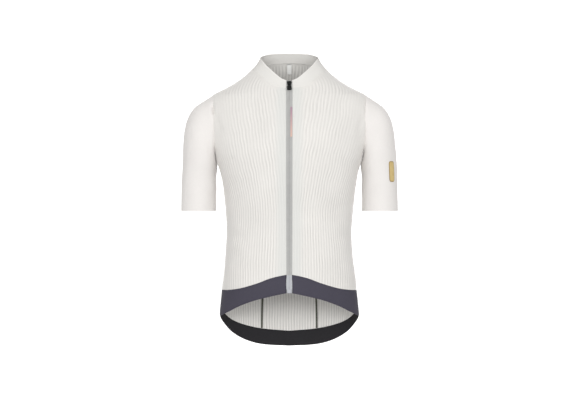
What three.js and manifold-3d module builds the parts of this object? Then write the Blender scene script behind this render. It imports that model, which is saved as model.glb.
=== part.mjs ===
// A short-sleeved cycling jersey with a full-length zip, filled out as if it were worn.
// Millimetres, +Z up. The front faces -Y and +X is the wearer's left.
// The origin is the middle of the neck, level with the points where the shoulder seams reach the collar.
import * as THREE from 'three';
import { mergeVertices } from 'three/addons/utils/BufferGeometryUtils.js';
import Module from 'manifold-3d';

const manifold = await Module();
manifold.setup();

// Cloth and seams
const CLOTH = 1.4;
const SEAM_GAP = 0.3;

// Heights of the points that set the cut
const ARMPIT = -228;
const SHOULDER_TIP = -61;
const SIDE_NECK = 2;
const FRONT_NECK = -50;
const BACK_NECK = 22;
const WAIST_LINE = -430;

// The zip: half the width that shows between the fronts
const ZIP_HALF = 7.6;

// How finely the cloth is divided
const COLUMNS = 13;
const ARMHOLE_STEPS = 10;
const BAND_STEPS = 2;
const SKIRT_STEPS = 4;
const POCKET_STEPS = 5;
const LOIN_STEPS = 2;
const CHEST_STEPS = 6;
const SHOULDER_STEPS = 7;
const COLLAR_STEPS = 3;
const SLEEVE_STEPS_PER_ROW = 2;

// The body, section by section from the hem up: half its width, its depth before and behind the side
// seams, and how square its corners are. Above the armpits the width is that of the shoulders, which
// the armholes cut away, and above the shoulder tips it follows the slope of the shoulder seams.
const BODY = [
  { z: -700, halfWidth: 172, front: 104, back: 118, square: 2.3 },
  { z: -600, halfWidth: 170.5, front: 105, back: 114, square: 2.3 },
  { z: -530, halfWidth: 163.5, front: 104, back: 107, square: 2.3 },
  { z: -465, halfWidth: 157, front: 103, back: 99, square: 2.3 },
  { z: -405, halfWidth: 153.2, front: 104, back: 96, square: 2.3 },
  { z: -350, halfWidth: 155.5, front: 107, back: 99, square: 2.3 },
  { z: -300, halfWidth: 160.5, front: 113, back: 105, square: 2.3 },
  { z: -255, halfWidth: 167.5, front: 118, back: 110, square: 2.3 },
  { z: ARMPIT, halfWidth: 175.5, front: 118.5, back: 113, square: 2.25 },
  { z: -200, halfWidth: 186, front: 115, back: 115, square: 2.2 },
  { z: -180, halfWidth: 194, front: 111, back: 115.5, square: 2.2 },
  { z: -150, halfWidth: 203, front: 104.5, back: 115, square: 2.2 },
  { z: -120, halfWidth: 207.5, front: 97, back: 112, square: 2.2 },
  { z: -95, halfWidth: 206.5, front: 89.5, back: 107.5, square: 2.2 },
  { z: -78, halfWidth: 202, front: 83.5, back: 103, square: 2.2 },
  { z: SHOULDER_TIP, halfWidth: 186, front: 77, back: 97, square: 2.2 },
  { z: -44, halfWidth: 153, front: 70, back: 90, square: 2.15 },
  { z: -30, halfWidth: 129, front: 64, back: 83, square: 2.1 },
  { z: -15, halfWidth: 108.5, front: 56, back: 75.5, square: 2.05 },
  { z: SIDE_NECK, halfWidth: 91, front: 47, back: 67, square: 2 },
  { z: BACK_NECK, halfWidth: 76, front: 38, back: 58, square: 2 },
];

// How far out the armhole seam runs, from the armpit up to the shoulder tip
const ARMHOLE = [
  { z: ARMPIT, x: 175.5 },
  { z: -215, x: 178.5 },
  { z: -200, x: 181.3 },
  { z: -180, x: 183 },
  { z: -150, x: 183.5 },
  { z: -107, x: 183.8 },
  { z: -78, x: 184.8 },
  { z: SHOULDER_TIP, x: 186 },
];

// Heights of the hem's edges; turn is 0 at the middle of the front or back and 1 at the side seam
const FRONT_HEM = [
  { turn: 0, edge: -539.5, bandTop: -495.5 },
  { turn: 0.14, edge: -548.5, bandTop: -504.5 },
  { turn: 0.28, edge: -557.5, bandTop: -517.5 },
  { turn: 0.47, edge: -572.5, bandTop: -529.5 },
  { turn: 0.64, edge: -587, bandTop: -534.5 },
  { turn: 0.85, edge: -598.5, bandTop: -537 },
  { turn: 1, edge: -600, bandTop: -537.5 },
];
const BACK_HEM = [
  { turn: 0, edge: -687, bandTop: -648.5, pocketTop: -492 },
  { turn: 0.22, edge: -682.5, bandTop: -642.5, pocketTop: -490 },
  { turn: 0.4, edge: -670.5, bandTop: -633, pocketTop: -494 },
  { turn: 0.6, edge: -648.5, bandTop: -618, pocketTop: -500 },
  { turn: 0.8, edge: -621, bandTop: -597, pocketTop: -505 },
  { turn: 1, edge: -600, bandTop: -571, pocketTop: -507 },
];

// How the front neckline rises from the zip, 0, to the side of the neck, 1
const NECKLINE = [
  { turn: 0, rise: 0 },
  { turn: 0.11, rise: 0.06 },
  { turn: 0.18, rise: 0.16 },
  { turn: 0.29, rise: 0.39 },
  { turn: 0.47, rise: 0.67 },
  { turn: 0.75, rise: 0.92 },
  { turn: 1, rise: 1 },
];

// The collar's upper edge; round is 0 at the zip, 1 at the side of the neck and 2 at the back
const COLLAR_HALF_WIDTH = 72;
const COLLAR_FRONT = 64.5;
const COLLAR_BACK = 52;
const COLLAR_HOLLOW = 1.5;
const COLLAR_EDGE = [
  { round: 0, z: -33 },
  { round: 0.15, z: -28 },
  { round: 0.3, z: -16 },
  { round: 0.45, z: -3 },
  { round: 0.6, z: 8.5 },
  { round: 0.73, z: 18.5 },
  { round: 0.87, z: 25 },
  { round: 1, z: 28.5 },
  { round: 1.15, z: 32.5 },
  { round: 1.33, z: 37 },
  { round: 1.5, z: 41 },
  { round: 1.75, z: 43.5 },
  { round: 2, z: 44.5 },
];

// The sleeve, from the armhole to the cuff: its outermost and innermost points, and its depth
const SLEEVE = [
  { outerX: 186, outerZ: SHOULDER_TIP, innerX: 175.5, innerZ: ARMPIT, front: 55, back: 58 },
  { outerX: 203.5, outerZ: -72.5, innerX: 176.3, innerZ: -237, front: 58, back: 61 },
  { outerX: 231, outerZ: -92, innerX: 177, innerZ: -247, front: 60, back: 63 },
  { outerX: 247.5, outerZ: -117, innerX: 177.5, innerZ: -259, front: 60, back: 63 },
  { outerX: 255.5, outerZ: -145, innerX: 178, innerZ: -272, front: 58, back: 61 },
  { outerX: 259.5, outerZ: -180, innerX: 178.3, innerZ: -286, front: 55.5, back: 59 },
  { outerX: 262.3, outerZ: -220, innerX: 178.6, innerZ: -300, front: 53, back: 56.5 },
  { outerX: 264, outerZ: -265, innerX: 178.8, innerZ: -315, front: 51, back: 54 },
  { outerX: 264.8, outerZ: -308, innerX: 179, innerZ: -331, front: 49.5, back: 52 },
  { outerX: 265, outerZ: -345.5, innerX: 179, innerZ: -345.5, front: 48, back: 50 },
];
const CAP_BLEND = 0.4;

// Pockets: the column of the back where two of them part, and where the outer ones end
const POCKET_PARTING = 3;
const POCKET_END = 12;
const POCKET_CLOTH = 1.2;
const SEAM_TAPE_HALF = 2.2;
const SEAM_TAPE_THICK = 0.8;

// Small pieces that lie on the cloth
const ACCENT = { low: -169, high: -95, inner: 2.4, outer: 6.8, thick: 0.5 };
const LABEL = { halfWidth: 5.5, rows: [SHOULDER_STEPS - 2, SHOULDER_STEPS - 0.15], thick: 0.6 };
const TAB = { columns: [2.1, 3.4], low: -275, high: -224, thick: 0.6 };

// The slider and its pull tab
const SLIDER_HEIGHT = -39;
const SLIDER = { topHalf: 5.6, bottomHalf: 3.9, halfLength: 6.5, thick: 1.6 };
const BRIDGE = { halfWidth: 1.2, halfLength: 4.4, rise: 3.9, holeHalf: 2, holeRise: 2.6 };
const PULL = {
  bar: 1.4, neckHalf: 3.3, neckEnd: 6.6, windowHalf: 1.8, windowEnd: 5.6,
  shoulder: 9.2, half: 5.4, length: 18.5, corner: 2,
};
const BOX = { half: 4.6, height: 9, thick: 2.2, corner: 1, above: 5.5 };

const colours = {
  front: 0xeceae5,
  back: 0xe6e4df,
  sleeve: 0xebe9e5,
  collar: 0xe9e8e4,
  frontBand: 0x4b4955,
  backBand: 0x2b2a2d,
  pocket: 0xe4e2dd,
  seamTape: 0x55554f,
  zip: 0xa9b1af,
  zipEnd: 0xb4bcc4,
  accent: 0xd8a8a4,
  metal: 0x1e201f,
  label: 0xf4f4f2,
  tab: 0xc9a860,
};

function finish(colour, roughness, metalness = 0) {
  return new THREE.MeshStandardMaterial({ color: colour, roughness, metalness });
}

// A smooth curve through a table's rows
function along(rows, place, key, at) {
  const last = rows.length - 1;
  if (at <= rows[0][place]) return rows[0][key];
  if (at >= rows[last][place]) return rows[last][key];
  let k = 0;
  while (rows[k + 1][place] < at) k += 1;
  const slope = (a, b) => (rows[b][key] - rows[a][key]) / (rows[b][place] - rows[a][place]);
  const step = rows[k + 1][place] - rows[k][place];
  const startSlope = k > 0 ? slope(k - 1, k + 1) : slope(k, k + 1);
  const endSlope = k + 1 < last ? slope(k, k + 2) : slope(k, k + 1);
  const t = (at - rows[k][place]) / step;
  const t2 = t * t;
  const t3 = t2 * t;
  return (2 * t3 - 3 * t2 + 1) * rows[k][key] + (t3 - 2 * t2 + t) * step * startSlope
    + (3 * t2 - 2 * t3) * rows[k + 1][key] + (t3 - t2) * step * endSlope;
}

function mix(a, b, t) {
  return a + (b - a) * t;
}

function series(from, to, steps) {
  return Array.from({ length: steps + 1 }, (_, k) => mix(from, to, k / steps));
}

function section(z) {
  return {
    halfWidth: along(BODY, 'z', 'halfWidth', z),
    front: along(BODY, 'z', 'front', z),
    back: along(BODY, 'z', 'back', z),
    square: along(BODY, 'z', 'square', z),
  };
}

// A point on the body. face is -1 for the front and 1 for the back, side is -1 or 1.
function bodyPoint(z, turn, face, side) {
  const { halfWidth, front, back, square } = section(z);
  const angle = turn * Math.PI / 2;
  const depth = face < 0 ? front : back;
  const x = side * halfWidth * Math.sin(angle) ** (2 / square);
  const y = face * depth * Math.max(Math.cos(angle), 0) ** (2 / square);
  return new THREE.Vector3(x, y, z);
}

// How far round the body a distance from the middle lies at a height
function turnAt(z, x) {
  const { halfWidth, square } = section(z);
  return Math.asin(Math.min(x / halfWidth, 1) ** (square / 2)) / (Math.PI / 2);
}

function armholeTurn(z) {
  if (z <= ARMPIT || z >= SHOULDER_TIP) return 1;
  return turnAt(z, along(ARMHOLE, 'z', 'x', z));
}

// How far from zero the body's shape is at a point: less inside, more outside
function bodyLevel(point) {
  const { halfWidth, front, back, square } = section(point.z);
  const depth = point.y < 0 ? front : back;
  return (Math.abs(point.x) / halfWidth) ** square + (Math.abs(point.y) / depth) ** square;
}

function bodyNormal(point) {
  const probe = 0.05;
  const level = (x, y, z) => bodyLevel(new THREE.Vector3(point.x + x, point.y + y, point.z + z));
  return new THREE.Vector3(
    level(probe, 0, 0) - level(-probe, 0, 0),
    level(0, probe, 0) - level(0, -probe, 0),
    level(0, 0, probe) - level(0, 0, -probe),
  ).normalize();
}

// Heights of the rows of a panel, from its lower edge to the collar seam, each a function of turn
function rowHeights(lowerRows, neckHeight, middleNeck) {
  const chest = series(WAIST_LINE, ARMPIT, CHEST_STEPS).slice(1).map((z) => () => z);
  const half = (SHOULDER_TIP - ARMPIT) / 2;
  const armhole = series(0, Math.PI, ARMHOLE_STEPS).slice(1)
    .map((angle) => () => ARMPIT + half * (1 - Math.cos(angle)));
  const shoulder = series(0, 1, SHOULDER_STEPS).slice(1).map((t) => (turn) => {
    const atSide = mix(SHOULDER_TIP, SIDE_NECK, t);
    const atMiddle = mix(SHOULDER_TIP, middleNeck, t);
    return mix(atMiddle, atSide, neckHeight(turn));
  });
  return [...lowerRows, ...chest, ...armhole, ...shoulder];
}

function hemCurve(table, key) {
  return (turn) => along(table, 'turn', key, turn);
}

// Rows between two edges, both functions of turn
function rowsBetween(low, high, steps, skipFirst) {
  const rows = series(0, 1, steps).map((t) => (turn) => mix(low(turn), high(turn), t));
  return skipFirst ? rows.slice(1) : rows;
}

const waist = () => WAIST_LINE;
const frontEdge = hemCurve(FRONT_HEM, 'edge');
const frontBandTop = hemCurve(FRONT_HEM, 'bandTop');
const backEdge = hemCurve(BACK_HEM, 'edge');
const backBandTop = hemCurve(BACK_HEM, 'bandTop');
const pocketTop = hemCurve(BACK_HEM, 'pocketTop');

const frontRows = rowHeights(
  rowsBetween(frontBandTop, waist, SKIRT_STEPS, false),
  (turn) => along(NECKLINE, 'turn', 'rise', turn),
  FRONT_NECK,
);
const backRows = rowHeights(
  [
    ...rowsBetween(backBandTop, pocketTop, POCKET_STEPS, false),
    ...rowsBetween(pocketTop, waist, LOIN_STEPS, true),
  ],
  (turn) => 1 - Math.cos(turn * Math.PI / 2),
  BACK_NECK,
);

// A point of a row at a share of its way from the middle of the garment to the seam
function rowPoint(height, share, face, side, fromX) {
  let z = height(share);
  let turn = share;
  for (let pass = 0; pass < 3; pass += 1) {
    const first = turnAt(z, fromX);
    turn = mix(first, armholeTurn(z), share);
    z = height(turn);
  }
  return bodyPoint(z, turn, face, side);
}

function bodyGrid(heights, face, side, fromX) {
  const shares = series(0, 1, COLUMNS);
  const rows = heights.map((height) => shares.map((share) => rowPoint(height, share, face, side, fromX)));
  return { rows, normals: rows.map((row) => row.map(bodyNormal)) };
}

// Both halves of the back as one grid, from the right side to the left
function backGrid(heights) {
  const left = bodyGrid(heights, 1, 1, 0);
  const rows = left.rows.map((row) => {
    const mirrored = row.slice(1).map((p) => new THREE.Vector3(-p.x, p.y, p.z)).reverse();
    return [...mirrored, ...row];
  });
  return { rows, normals: rows.map((row) => row.map(bodyNormal)) };
}

// Normals worked out from the points themselves, for the pieces that leave the body's surface
function gridNormals(rows, wraps, outward) {
  const rowCount = rows.length;
  const columnCount = rows[0].length;
  return rows.map((row, j) => row.map((point, i) => {
    const before = wraps ? (i + columnCount - 1) % columnCount : Math.max(i - 1, 0);
    const after = wraps ? (i + 1) % columnCount : Math.min(i + 1, columnCount - 1);
    const across = row[after].clone().sub(row[before]);
    const up = rows[Math.min(j + 1, rowCount - 1)][i].clone().sub(rows[Math.max(j - 1, 0)][i]);
    const normal = across.cross(up).normalize();
    return normal.dot(outward(point, j)) < 0 ? normal.negate() : normal;
  }));
}

function sleeveGrid(side) {
  const ring = [];
  const steps = 2 * ARMHOLE_STEPS;
  for (let k = 0; k < steps; k += 1) {
    const angle = k * Math.PI / ARMHOLE_STEPS;
    const face = k < ARMHOLE_STEPS ? -1 : 1;
    ring.push({ angle, face });
  }
  const places = SLEEVE.map((row, k) => ({ ...row, step: k }));
  const value = (key, step) => along(places, 'step', key, step);
  const ellipse = (step, angle) => {
    const outer = new THREE.Vector3(value('outerX', step), 0, value('outerZ', step));
    const inner = new THREE.Vector3(value('innerX', step), 0, value('innerZ', step));
    const centre = outer.clone().add(inner).multiplyScalar(0.5);
    const reach = outer.clone().sub(centre).multiplyScalar(Math.cos(angle));
    const depth = Math.sin(angle) > 0 ? value('front', step) : value('back', step);
    return centre.add(reach).add(new THREE.Vector3(0, -depth * Math.sin(angle), 0));
  };
  const half = (SHOULDER_TIP - ARMPIT) / 2;
  const seam = ring.map(({ angle, face }) => {
    const z = ARMPIT + half * (1 + Math.cos(angle));
    return bodyPoint(z, armholeTurn(z), face, 1);
  });
  const last = SLEEVE.length - 1;
  const stepList = series(0, last, last * SLEEVE_STEPS_PER_ROW);
  const rows = stepList.map((step) => ring.map(({ angle }, k) => {
    const pull = Math.max(1 - step / last / CAP_BLEND, 0) ** 2;
    const point = ellipse(step, angle);
    point.addScaledVector(seam[k].clone().sub(ellipse(0, angle)), pull);
    return new THREE.Vector3(side * point.x, point.y, point.z);
  }));
  const centres = rows.map((row) => row.reduce((sum, p) => sum.add(p), new THREE.Vector3())
    .divideScalar(row.length));
  const outward = (point, j) => point.clone().sub(centres[j]);
  return { rows, normals: gridNormals(rows, true, outward), wraps: true };
}

function collarEdgePoint(round, side) {
  const angle = round * Math.PI / 2;
  const depth = round < 1 ? COLLAR_FRONT : COLLAR_BACK;
  return new THREE.Vector3(
    side * COLLAR_HALF_WIDTH * Math.sin(angle),
    -depth * Math.cos(angle),
    along(COLLAR_EDGE, 'round', 'z', round),
  );
}

// The collar runs from the zip round the back to the zip, from the neckline up to its own edge
function collarGrid() {
  const frontNeck = bodyGrid([frontRows[frontRows.length - 1]], -1, 1, ZIP_HALF).rows[0];
  const backNeck = bodyGrid([backRows[backRows.length - 1]], 1, 1, 0).rows[0];
  const seam = [...frontNeck, ...backNeck.slice(0, -1).reverse()];
  const firstRound = Math.asin(ZIP_HALF / COLLAR_HALF_WIDTH) / (Math.PI / 2);
  const half = seam.map((point, k) => {
    const share = k / COLUMNS;
    const round = share < 1 ? mix(firstRound, 1, share) : share;
    return { seam: point, edge: collarEdgePoint(round, 1) };
  });
  const rows = series(0, 1, COLLAR_STEPS).map((t) => {
    const hollow = COLLAR_HOLLOW * Math.sin(t * Math.PI);
    const left = half.map(({ seam: low, edge: high }) => {
      const point = low.clone().lerp(high, t);
      const inward = new THREE.Vector3(-point.x, -point.y, 0).normalize();
      const share = Math.min(Math.abs(point.x) / COLLAR_HALF_WIDTH, 1);
      return point.addScaledVector(inward, hollow * share);
    });
    const right = left.slice(0, -1).map((p) => new THREE.Vector3(-p.x, p.y, p.z));
    return [...right, ...left.slice().reverse()];
  });
  const outward = (point) => new THREE.Vector3(point.x, point.y, 0);
  return { rows, normals: gridNormals(rows, false, outward) };
}

// One half of the zip: from its seam with the hem band, front and collar to the middle
function zipGrid(side, band, front, collar) {
  const collarColumn = side < 0 ? 0 : collar.rows[0].length - 1;
  const edge = [
    ...band.rows.map((row) => row[0]),
    ...front.rows.slice(1).map((row) => row[0]),
    ...collar.rows.slice(1).map((row) => row[collarColumn]),
  ];
  const rows = edge.map((point) => [point.clone(), new THREE.Vector3(0, point.y, point.z)]);
  const outward = () => new THREE.Vector3(0, -1, 0);
  return { rows, normals: gridNormals(rows, false, outward) };
}

// At a seam every piece takes the same normal, so that its walls end face to face
const SAME_PLACE = 0.02;
const SAME_WAY = 0.99;
const SHARPEST = 0.5;
const seamPoints = [];

function isBoundary(grid, j, i) {
  const ends = j === 0 || j === grid.rows.length - 1;
  return ends || (!grid.wraps && (i === 0 || i === grid.rows[0].length - 1));
}

function seamAt(point) {
  return seamPoints.find((seam) => seam.point.distanceTo(point) < SAME_PLACE);
}

function noteSeams(grid) {
  grid.rows.forEach((row, j) => row.forEach((point, i) => {
    if (!isBoundary(grid, j, i)) return;
    const normal = grid.normals[j][i].clone();
    const seam = seamAt(point);
    if (!seam) seamPoints.push({ point: point.clone(), normals: [normal] });
    else if (!seam.normals.some((other) => other.dot(normal) > SAME_WAY)) seam.normals.push(normal);
  }));
}

function sharedNormal({ normals }) {
  const sum = normals.reduce((total, normal) => total.add(normal), new THREE.Vector3()).normalize();
  const tightest = Math.min(...normals.map((normal) => normal.dot(sum)));
  return sum.divideScalar(Math.max(tightest, SHARPEST));
}

// Draws an edge back from its neighbour by half the seam gap
function settle(grid, seams) {
  const { rows } = grid;
  const normals = grid.normals.map((row, j) => row.map((normal, i) => (
    isBoundary(grid, j, i) ? sharedNormal(seamAt(rows[j][i])) : normal
  )));
  const lastRow = rows.length - 1;
  const lastColumn = rows[0].length - 1;
  const shifted = rows.map((row) => row.map((point) => point.clone()));
  const draw = (j, i, inner, along1, along2) => {
    const normal = normals[j][i].clone().normalize();
    const run = along2.clone().sub(along1).normalize();
    const way = inner.clone().sub(rows[j][i]);
    way.addScaledVector(run, -way.dot(run));
    way.addScaledVector(normal, -way.dot(normal));
    way.addScaledVector(run, -way.dot(run)).normalize();
    shifted[j][i].addScaledVector(way, SEAM_GAP / 2);
  };
  const columnCount = rows[0].length;
  rows.forEach((row, j) => {
    const below = rows[Math.max(j - 1, 0)];
    const above = rows[Math.min(j + 1, lastRow)];
    if (seams.start) draw(j, 0, row[1], below[0], above[0]);
    if (seams.end) draw(j, lastColumn, row[lastColumn - 1], below[lastColumn], above[lastColumn]);
  });
  rows[0].forEach((_, i) => {
    const before = grid.wraps ? (i + columnCount - 1) % columnCount : Math.max(i - 1, 0);
    const after = grid.wraps ? (i + 1) % columnCount : Math.min(i + 1, lastColumn);
    if (seams.low) draw(0, i, rows[1][i], rows[0][before], rows[0][after]);
    if (seams.high) draw(lastRow, i, rows[lastRow - 1][i], rows[lastRow][before], rows[lastRow][after]);
  });
  return { rows: shifted, normals, wraps: grid.wraps };
}

// A closed wall between two distances from a grid, measured along its normals
function wall({ rows, normals, wraps = false }, low, high) {
  const rowCount = rows.length;
  const columnCount = rows[0].length;
  const positions = [];
  for (const distance of [high, low]) {
    rows.forEach((row, j) => row.forEach((point, i) => {
      const place = point.clone().addScaledVector(normals[j][i], distance);
      positions.push(place.x, place.y, place.z);
    }));
  }
  const under = rowCount * columnCount;
  const at = (j, i) => j * columnCount + (i % columnCount);
  const faces = [];
  const quad = (a, b, c, d) => faces.push([a, b, c], [a, c, d]);
  const cells = wraps ? columnCount : columnCount - 1;
  for (let i = 0; i < cells; i += 1) {
    for (let j = 0; j < rowCount - 1; j += 1) {
      const [a, b, c, d] = [at(j, i), at(j, i + 1), at(j + 1, i + 1), at(j + 1, i)];
      quad(a, b, c, d);
      faces.push([a + under, c + under, b + under], [a + under, d + under, c + under]);
    }
    const [lowA, lowB] = [at(0, i), at(0, i + 1)];
    const [highA, highB] = [at(rowCount - 1, i), at(rowCount - 1, i + 1)];
    quad(lowB, lowA, lowA + under, lowB + under);
    quad(highA, highB, highB + under, highA + under);
  }
  if (!wraps) {
    for (let j = 0; j < rowCount - 1; j += 1) {
      const [startA, startB] = [at(j, 0), at(j + 1, 0)];
      const [endA, endB] = [at(j, columnCount - 1), at(j + 1, columnCount - 1)];
      quad(startA, startB, startB + under, startA + under);
      quad(endB, endA, endA + under, endB + under);
    }
  }
  const j = Math.floor(rowCount / 2) - (rowCount > 2 ? 0 : 1);
  const i = Math.floor(columnCount / 2) - (columnCount > 2 ? 0 : 1);
  const across = rows[j][i + 1].clone().sub(rows[j][i]);
  const up = rows[Math.min(j + 1, rowCount - 1)][i].clone().sub(rows[Math.max(j - 1, 0)][i]);
  const flip = across.cross(up).dot(normals[j][i]) < 0;
  const geometry = new THREE.BufferGeometry();
  geometry.setAttribute('position', new THREE.Float32BufferAttribute(positions, 3));
  geometry.setIndex(faces.flatMap(([a, b, c]) => (flip ? [a, c, b] : [a, b, c])));
  geometry.computeVertexNormals();
  return geometry;
}

// Part of a grid, between fractions of its columns and rows, as what lies on it needs
function patch(grid, columns, rows) {
  const stops = ([from, to]) => {
    const inner = [];
    for (let k = Math.floor(from) + 1; k < to - 1e-6; k += 1) inner.push(k);
    return [from, ...inner, to];
  };
  const sample = (table, row, column, blend) => {
    const j = Math.min(Math.floor(row), table.length - 2);
    const i = Math.min(Math.floor(column), table[0].length - 2);
    const low = blend(table[j][i], table[j][i + 1], column - i);
    const high = blend(table[j + 1][i], table[j + 1][i + 1], column - i);
    return blend(low, high, row - j);
  };
  const blend = (a, b, t) => a.clone().lerp(b, t);
  return {
    rows: stops(rows).map((row) => stops(columns).map((column) => sample(grid.rows, row, column, blend))),
    normals: stops(rows).map((row) => stops(columns).map((column) => (
      sample(grid.normals, row, column, blend).normalize()
    ))),
  };
}

// The fraction of a row at which a column of a grid reaches a height
function rowAtHeight(grid, column, z) {
  const heights = grid.rows.map((row) => row[column].z);
  const rising = heights[heights.length - 1] > heights[0];
  for (let j = 0; j < heights.length - 1; j += 1) {
    const [a, b] = [heights[j], heights[j + 1]];
    const inside = rising ? a <= z && z <= b : b <= z && z <= a;
    if (inside) return j + (z - a) / (b - a);
  }
  return 0;
}

// The fraction of a column at which a row of a grid is a distance from one of its columns
function columnBeside(grid, row, column, distance, way) {
  return column + way * distance / grid.rows[row][column].distanceTo(grid.rows[row][column + way]);
}

const garment = new THREE.Group();

function add(parent, name, geometry, colour, roughness, metalness) {
  const mesh = new THREE.Mesh(geometry, finish(colour, roughness, metalness));
  mesh.name = name;
  parent.add(mesh);
  return mesh;
}

// Grids of the cloth
const grids = {
  frontLeft: bodyGrid(frontRows, -1, 1, ZIP_HALF),
  frontRight: bodyGrid(frontRows, -1, -1, ZIP_HALF),
  bandLeft: bodyGrid(rowsBetween(frontEdge, frontBandTop, BAND_STEPS, false), -1, 1, ZIP_HALF),
  bandRight: bodyGrid(rowsBetween(frontEdge, frontBandTop, BAND_STEPS, false), -1, -1, ZIP_HALF),
  back: backGrid(backRows),
  backBand: backGrid(rowsBetween(backEdge, backBandTop, BAND_STEPS, false)),
  sleeveLeft: sleeveGrid(1),
  sleeveRight: sleeveGrid(-1),
  collar: collarGrid(),
};
grids.zipLeft = zipGrid(1, grids.bandLeft, grids.frontLeft, grids.collar);
grids.zipRight = zipGrid(-1, grids.bandRight, grids.frontRight, grids.collar);
Object.values(grids).forEach(noteSeams);

const allRound = { start: true, end: true, low: true, high: true };
const openBelow = { start: true, end: true, low: false, high: true };
const openAbove = { start: true, end: true, low: true, high: false };
const cloth = {
  frontLeft: settle(grids.frontLeft, allRound),
  frontRight: settle(grids.frontRight, allRound),
  bandLeft: settle(grids.bandLeft, openBelow),
  bandRight: settle(grids.bandRight, openBelow),
  back: settle(grids.back, allRound),
  backBand: settle(grids.backBand, openBelow),
  sleeveLeft: settle(grids.sleeveLeft, { low: true }),
  sleeveRight: settle(grids.sleeveRight, { low: true }),
  collar: settle(grids.collar, openAbove),
  zipLeft: settle(grids.zipLeft, { start: true, end: true }),
  zipRight: settle(grids.zipRight, { start: true, end: true }),
};

function addCloth(name, grid, colour, roughness = 0.9) {
  add(garment, name, wall(grid, -CLOTH, 0), colour, roughness);
}

addCloth('front_left', cloth.frontLeft, colours.front);
addCloth('front_right', cloth.frontRight, colours.front);
addCloth('front_hem_left', cloth.bandLeft, colours.frontBand);
addCloth('front_hem_right', cloth.bandRight, colours.frontBand);
addCloth('back', cloth.back, colours.back);
addCloth('back_hem', cloth.backBand, colours.backBand);
addCloth('sleeve_left', cloth.sleeveLeft, colours.sleeve);
addCloth('sleeve_right', cloth.sleeveRight, colours.sleeve);
addCloth('collar', cloth.collar, colours.collar);
addCloth('zip_tape_left', cloth.zipLeft, colours.zip, 0.7);
addCloth('zip_tape_right', cloth.zipRight, colours.zip, 0.7);

// Pockets on the lower back, and the tapes inside it where they part
function addPockets() {
  const middle = COLUMNS;
  const spans = [
    { name: 'pocket_right', columns: [middle - POCKET_END, middle - POCKET_PARTING] },
    { name: 'pocket_centre', columns: [middle - POCKET_PARTING, middle + POCKET_PARTING] },
    { name: 'pocket_left', columns: [middle + POCKET_PARTING, middle + POCKET_END] },
  ];
  const inset = 0.02;
  for (const { name, columns: [from, to] } of spans) {
    const area = patch(grids.back, [from + inset, to - inset], [inset, POCKET_STEPS]);
    const lowest = SEAM_GAP;
    add(garment, name, wall(area, lowest, lowest + POCKET_CLOTH), colours.pocket, 0.9);
  }
  for (const [name, way] of [['pocket_seam_right', -1], ['pocket_seam_left', 1]]) {
    const column = middle + way * POCKET_PARTING;
    const from = columnBeside(grids.back, POCKET_STEPS, column, SEAM_TAPE_HALF, -1);
    const to = columnBeside(grids.back, POCKET_STEPS, column, SEAM_TAPE_HALF, 1);
    const area = patch(grids.back, [from, to], [inset, POCKET_STEPS]);
    const top = -CLOTH - SEAM_GAP;
    add(garment, name, wall(area, top - SEAM_TAPE_THICK, top), colours.seamTape, 0.9);
  }
}
addPockets();

// The coral strip on the left half of the zip
function addAccent() {
  const low = rowAtHeight(grids.zipLeft, 0, ACCENT.low);
  const high = rowAtHeight(grids.zipLeft, 0, ACCENT.high);
  const columns = [1 - ACCENT.outer / ZIP_HALF, 1 - ACCENT.inner / ZIP_HALF];
  const area = patch(grids.zipLeft, columns, [low, high]);
  add(garment, 'zip_accent', wall(area, SEAM_GAP, SEAM_GAP + ACCENT.thick), colours.accent, 0.7);
}
addAccent();

// The blank label hangs inside the back of the neck
function addLabel() {
  const firstRow = grids.back.rows.length - 1 - SHOULDER_STEPS;
  const rows = LABEL.rows.map((step) => firstRow + step);
  const nearest = Math.floor(rows[0]);
  const columns = [-1, 1].map((way) => columnBeside(grids.back, nearest, COLUMNS, LABEL.halfWidth, way));
  const top = -CLOTH - SEAM_GAP;
  const area = patch(grids.back, columns, rows);
  add(garment, 'neck_label', wall(area, top - LABEL.thick, top), colours.label, 0.8);
}
addLabel();

// The plain tab on the left sleeve
function addTab() {
  const column = Math.round(TAB.columns[0]);
  const rows = [TAB.high, TAB.low].map((z) => rowAtHeight(grids.sleeveLeft, column, z));
  const area = patch(grids.sleeveLeft, TAB.columns, rows);
  add(garment, 'sleeve_tab', wall(area, SEAM_GAP, SEAM_GAP + TAB.thick), colours.tab, 0.6);
}
addTab();

function toSolid(geometry) {
  const bare = geometry.clone();
  bare.deleteAttribute('normal');
  bare.deleteAttribute('uv');
  const merged = mergeVertices(bare, 1e-4);
  return new manifold.Manifold(new manifold.Mesh({
    numProp: 3,
    vertProperties: new Float32Array(merged.attributes.position.array),
    triVerts: new Uint32Array(merged.index.array),
  }));
}

function fromSolid(solid) {
  const mesh = solid.getMesh();
  const geometry = new THREE.BufferGeometry();
  geometry.setAttribute('position', new THREE.Float32BufferAttribute(mesh.vertProperties, 3));
  geometry.setIndex(Array.from(mesh.triVerts));
  geometry.computeVertexNormals();
  return geometry;
}

// An outline drawn in X and Z, with its thickness running back from its front face
function plateFromOutline(shape, frontY, thick) {
  const geometry = new THREE.ExtrudeGeometry(shape, { depth: thick, bevelEnabled: false, curveSegments: 4 });
  geometry.rotateX(Math.PI / 2);
  geometry.translate(0, frontY + thick, 0);
  return geometry;
}

function roundedRectangle(halfWidth, low, high, corner) {
  const shape = new THREE.Shape();
  shape.moveTo(-halfWidth + corner, low);
  shape.lineTo(halfWidth - corner, low);
  shape.absarc(halfWidth - corner, low + corner, corner, -Math.PI / 2, 0, false);
  shape.absarc(halfWidth - corner, high - corner, corner, 0, Math.PI / 2, false);
  shape.absarc(-halfWidth + corner, high - corner, corner, Math.PI / 2, Math.PI, false);
  shape.absarc(-halfWidth + corner, low + corner, corner, Math.PI, 1.5 * Math.PI, false);
  return shape;
}

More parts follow.
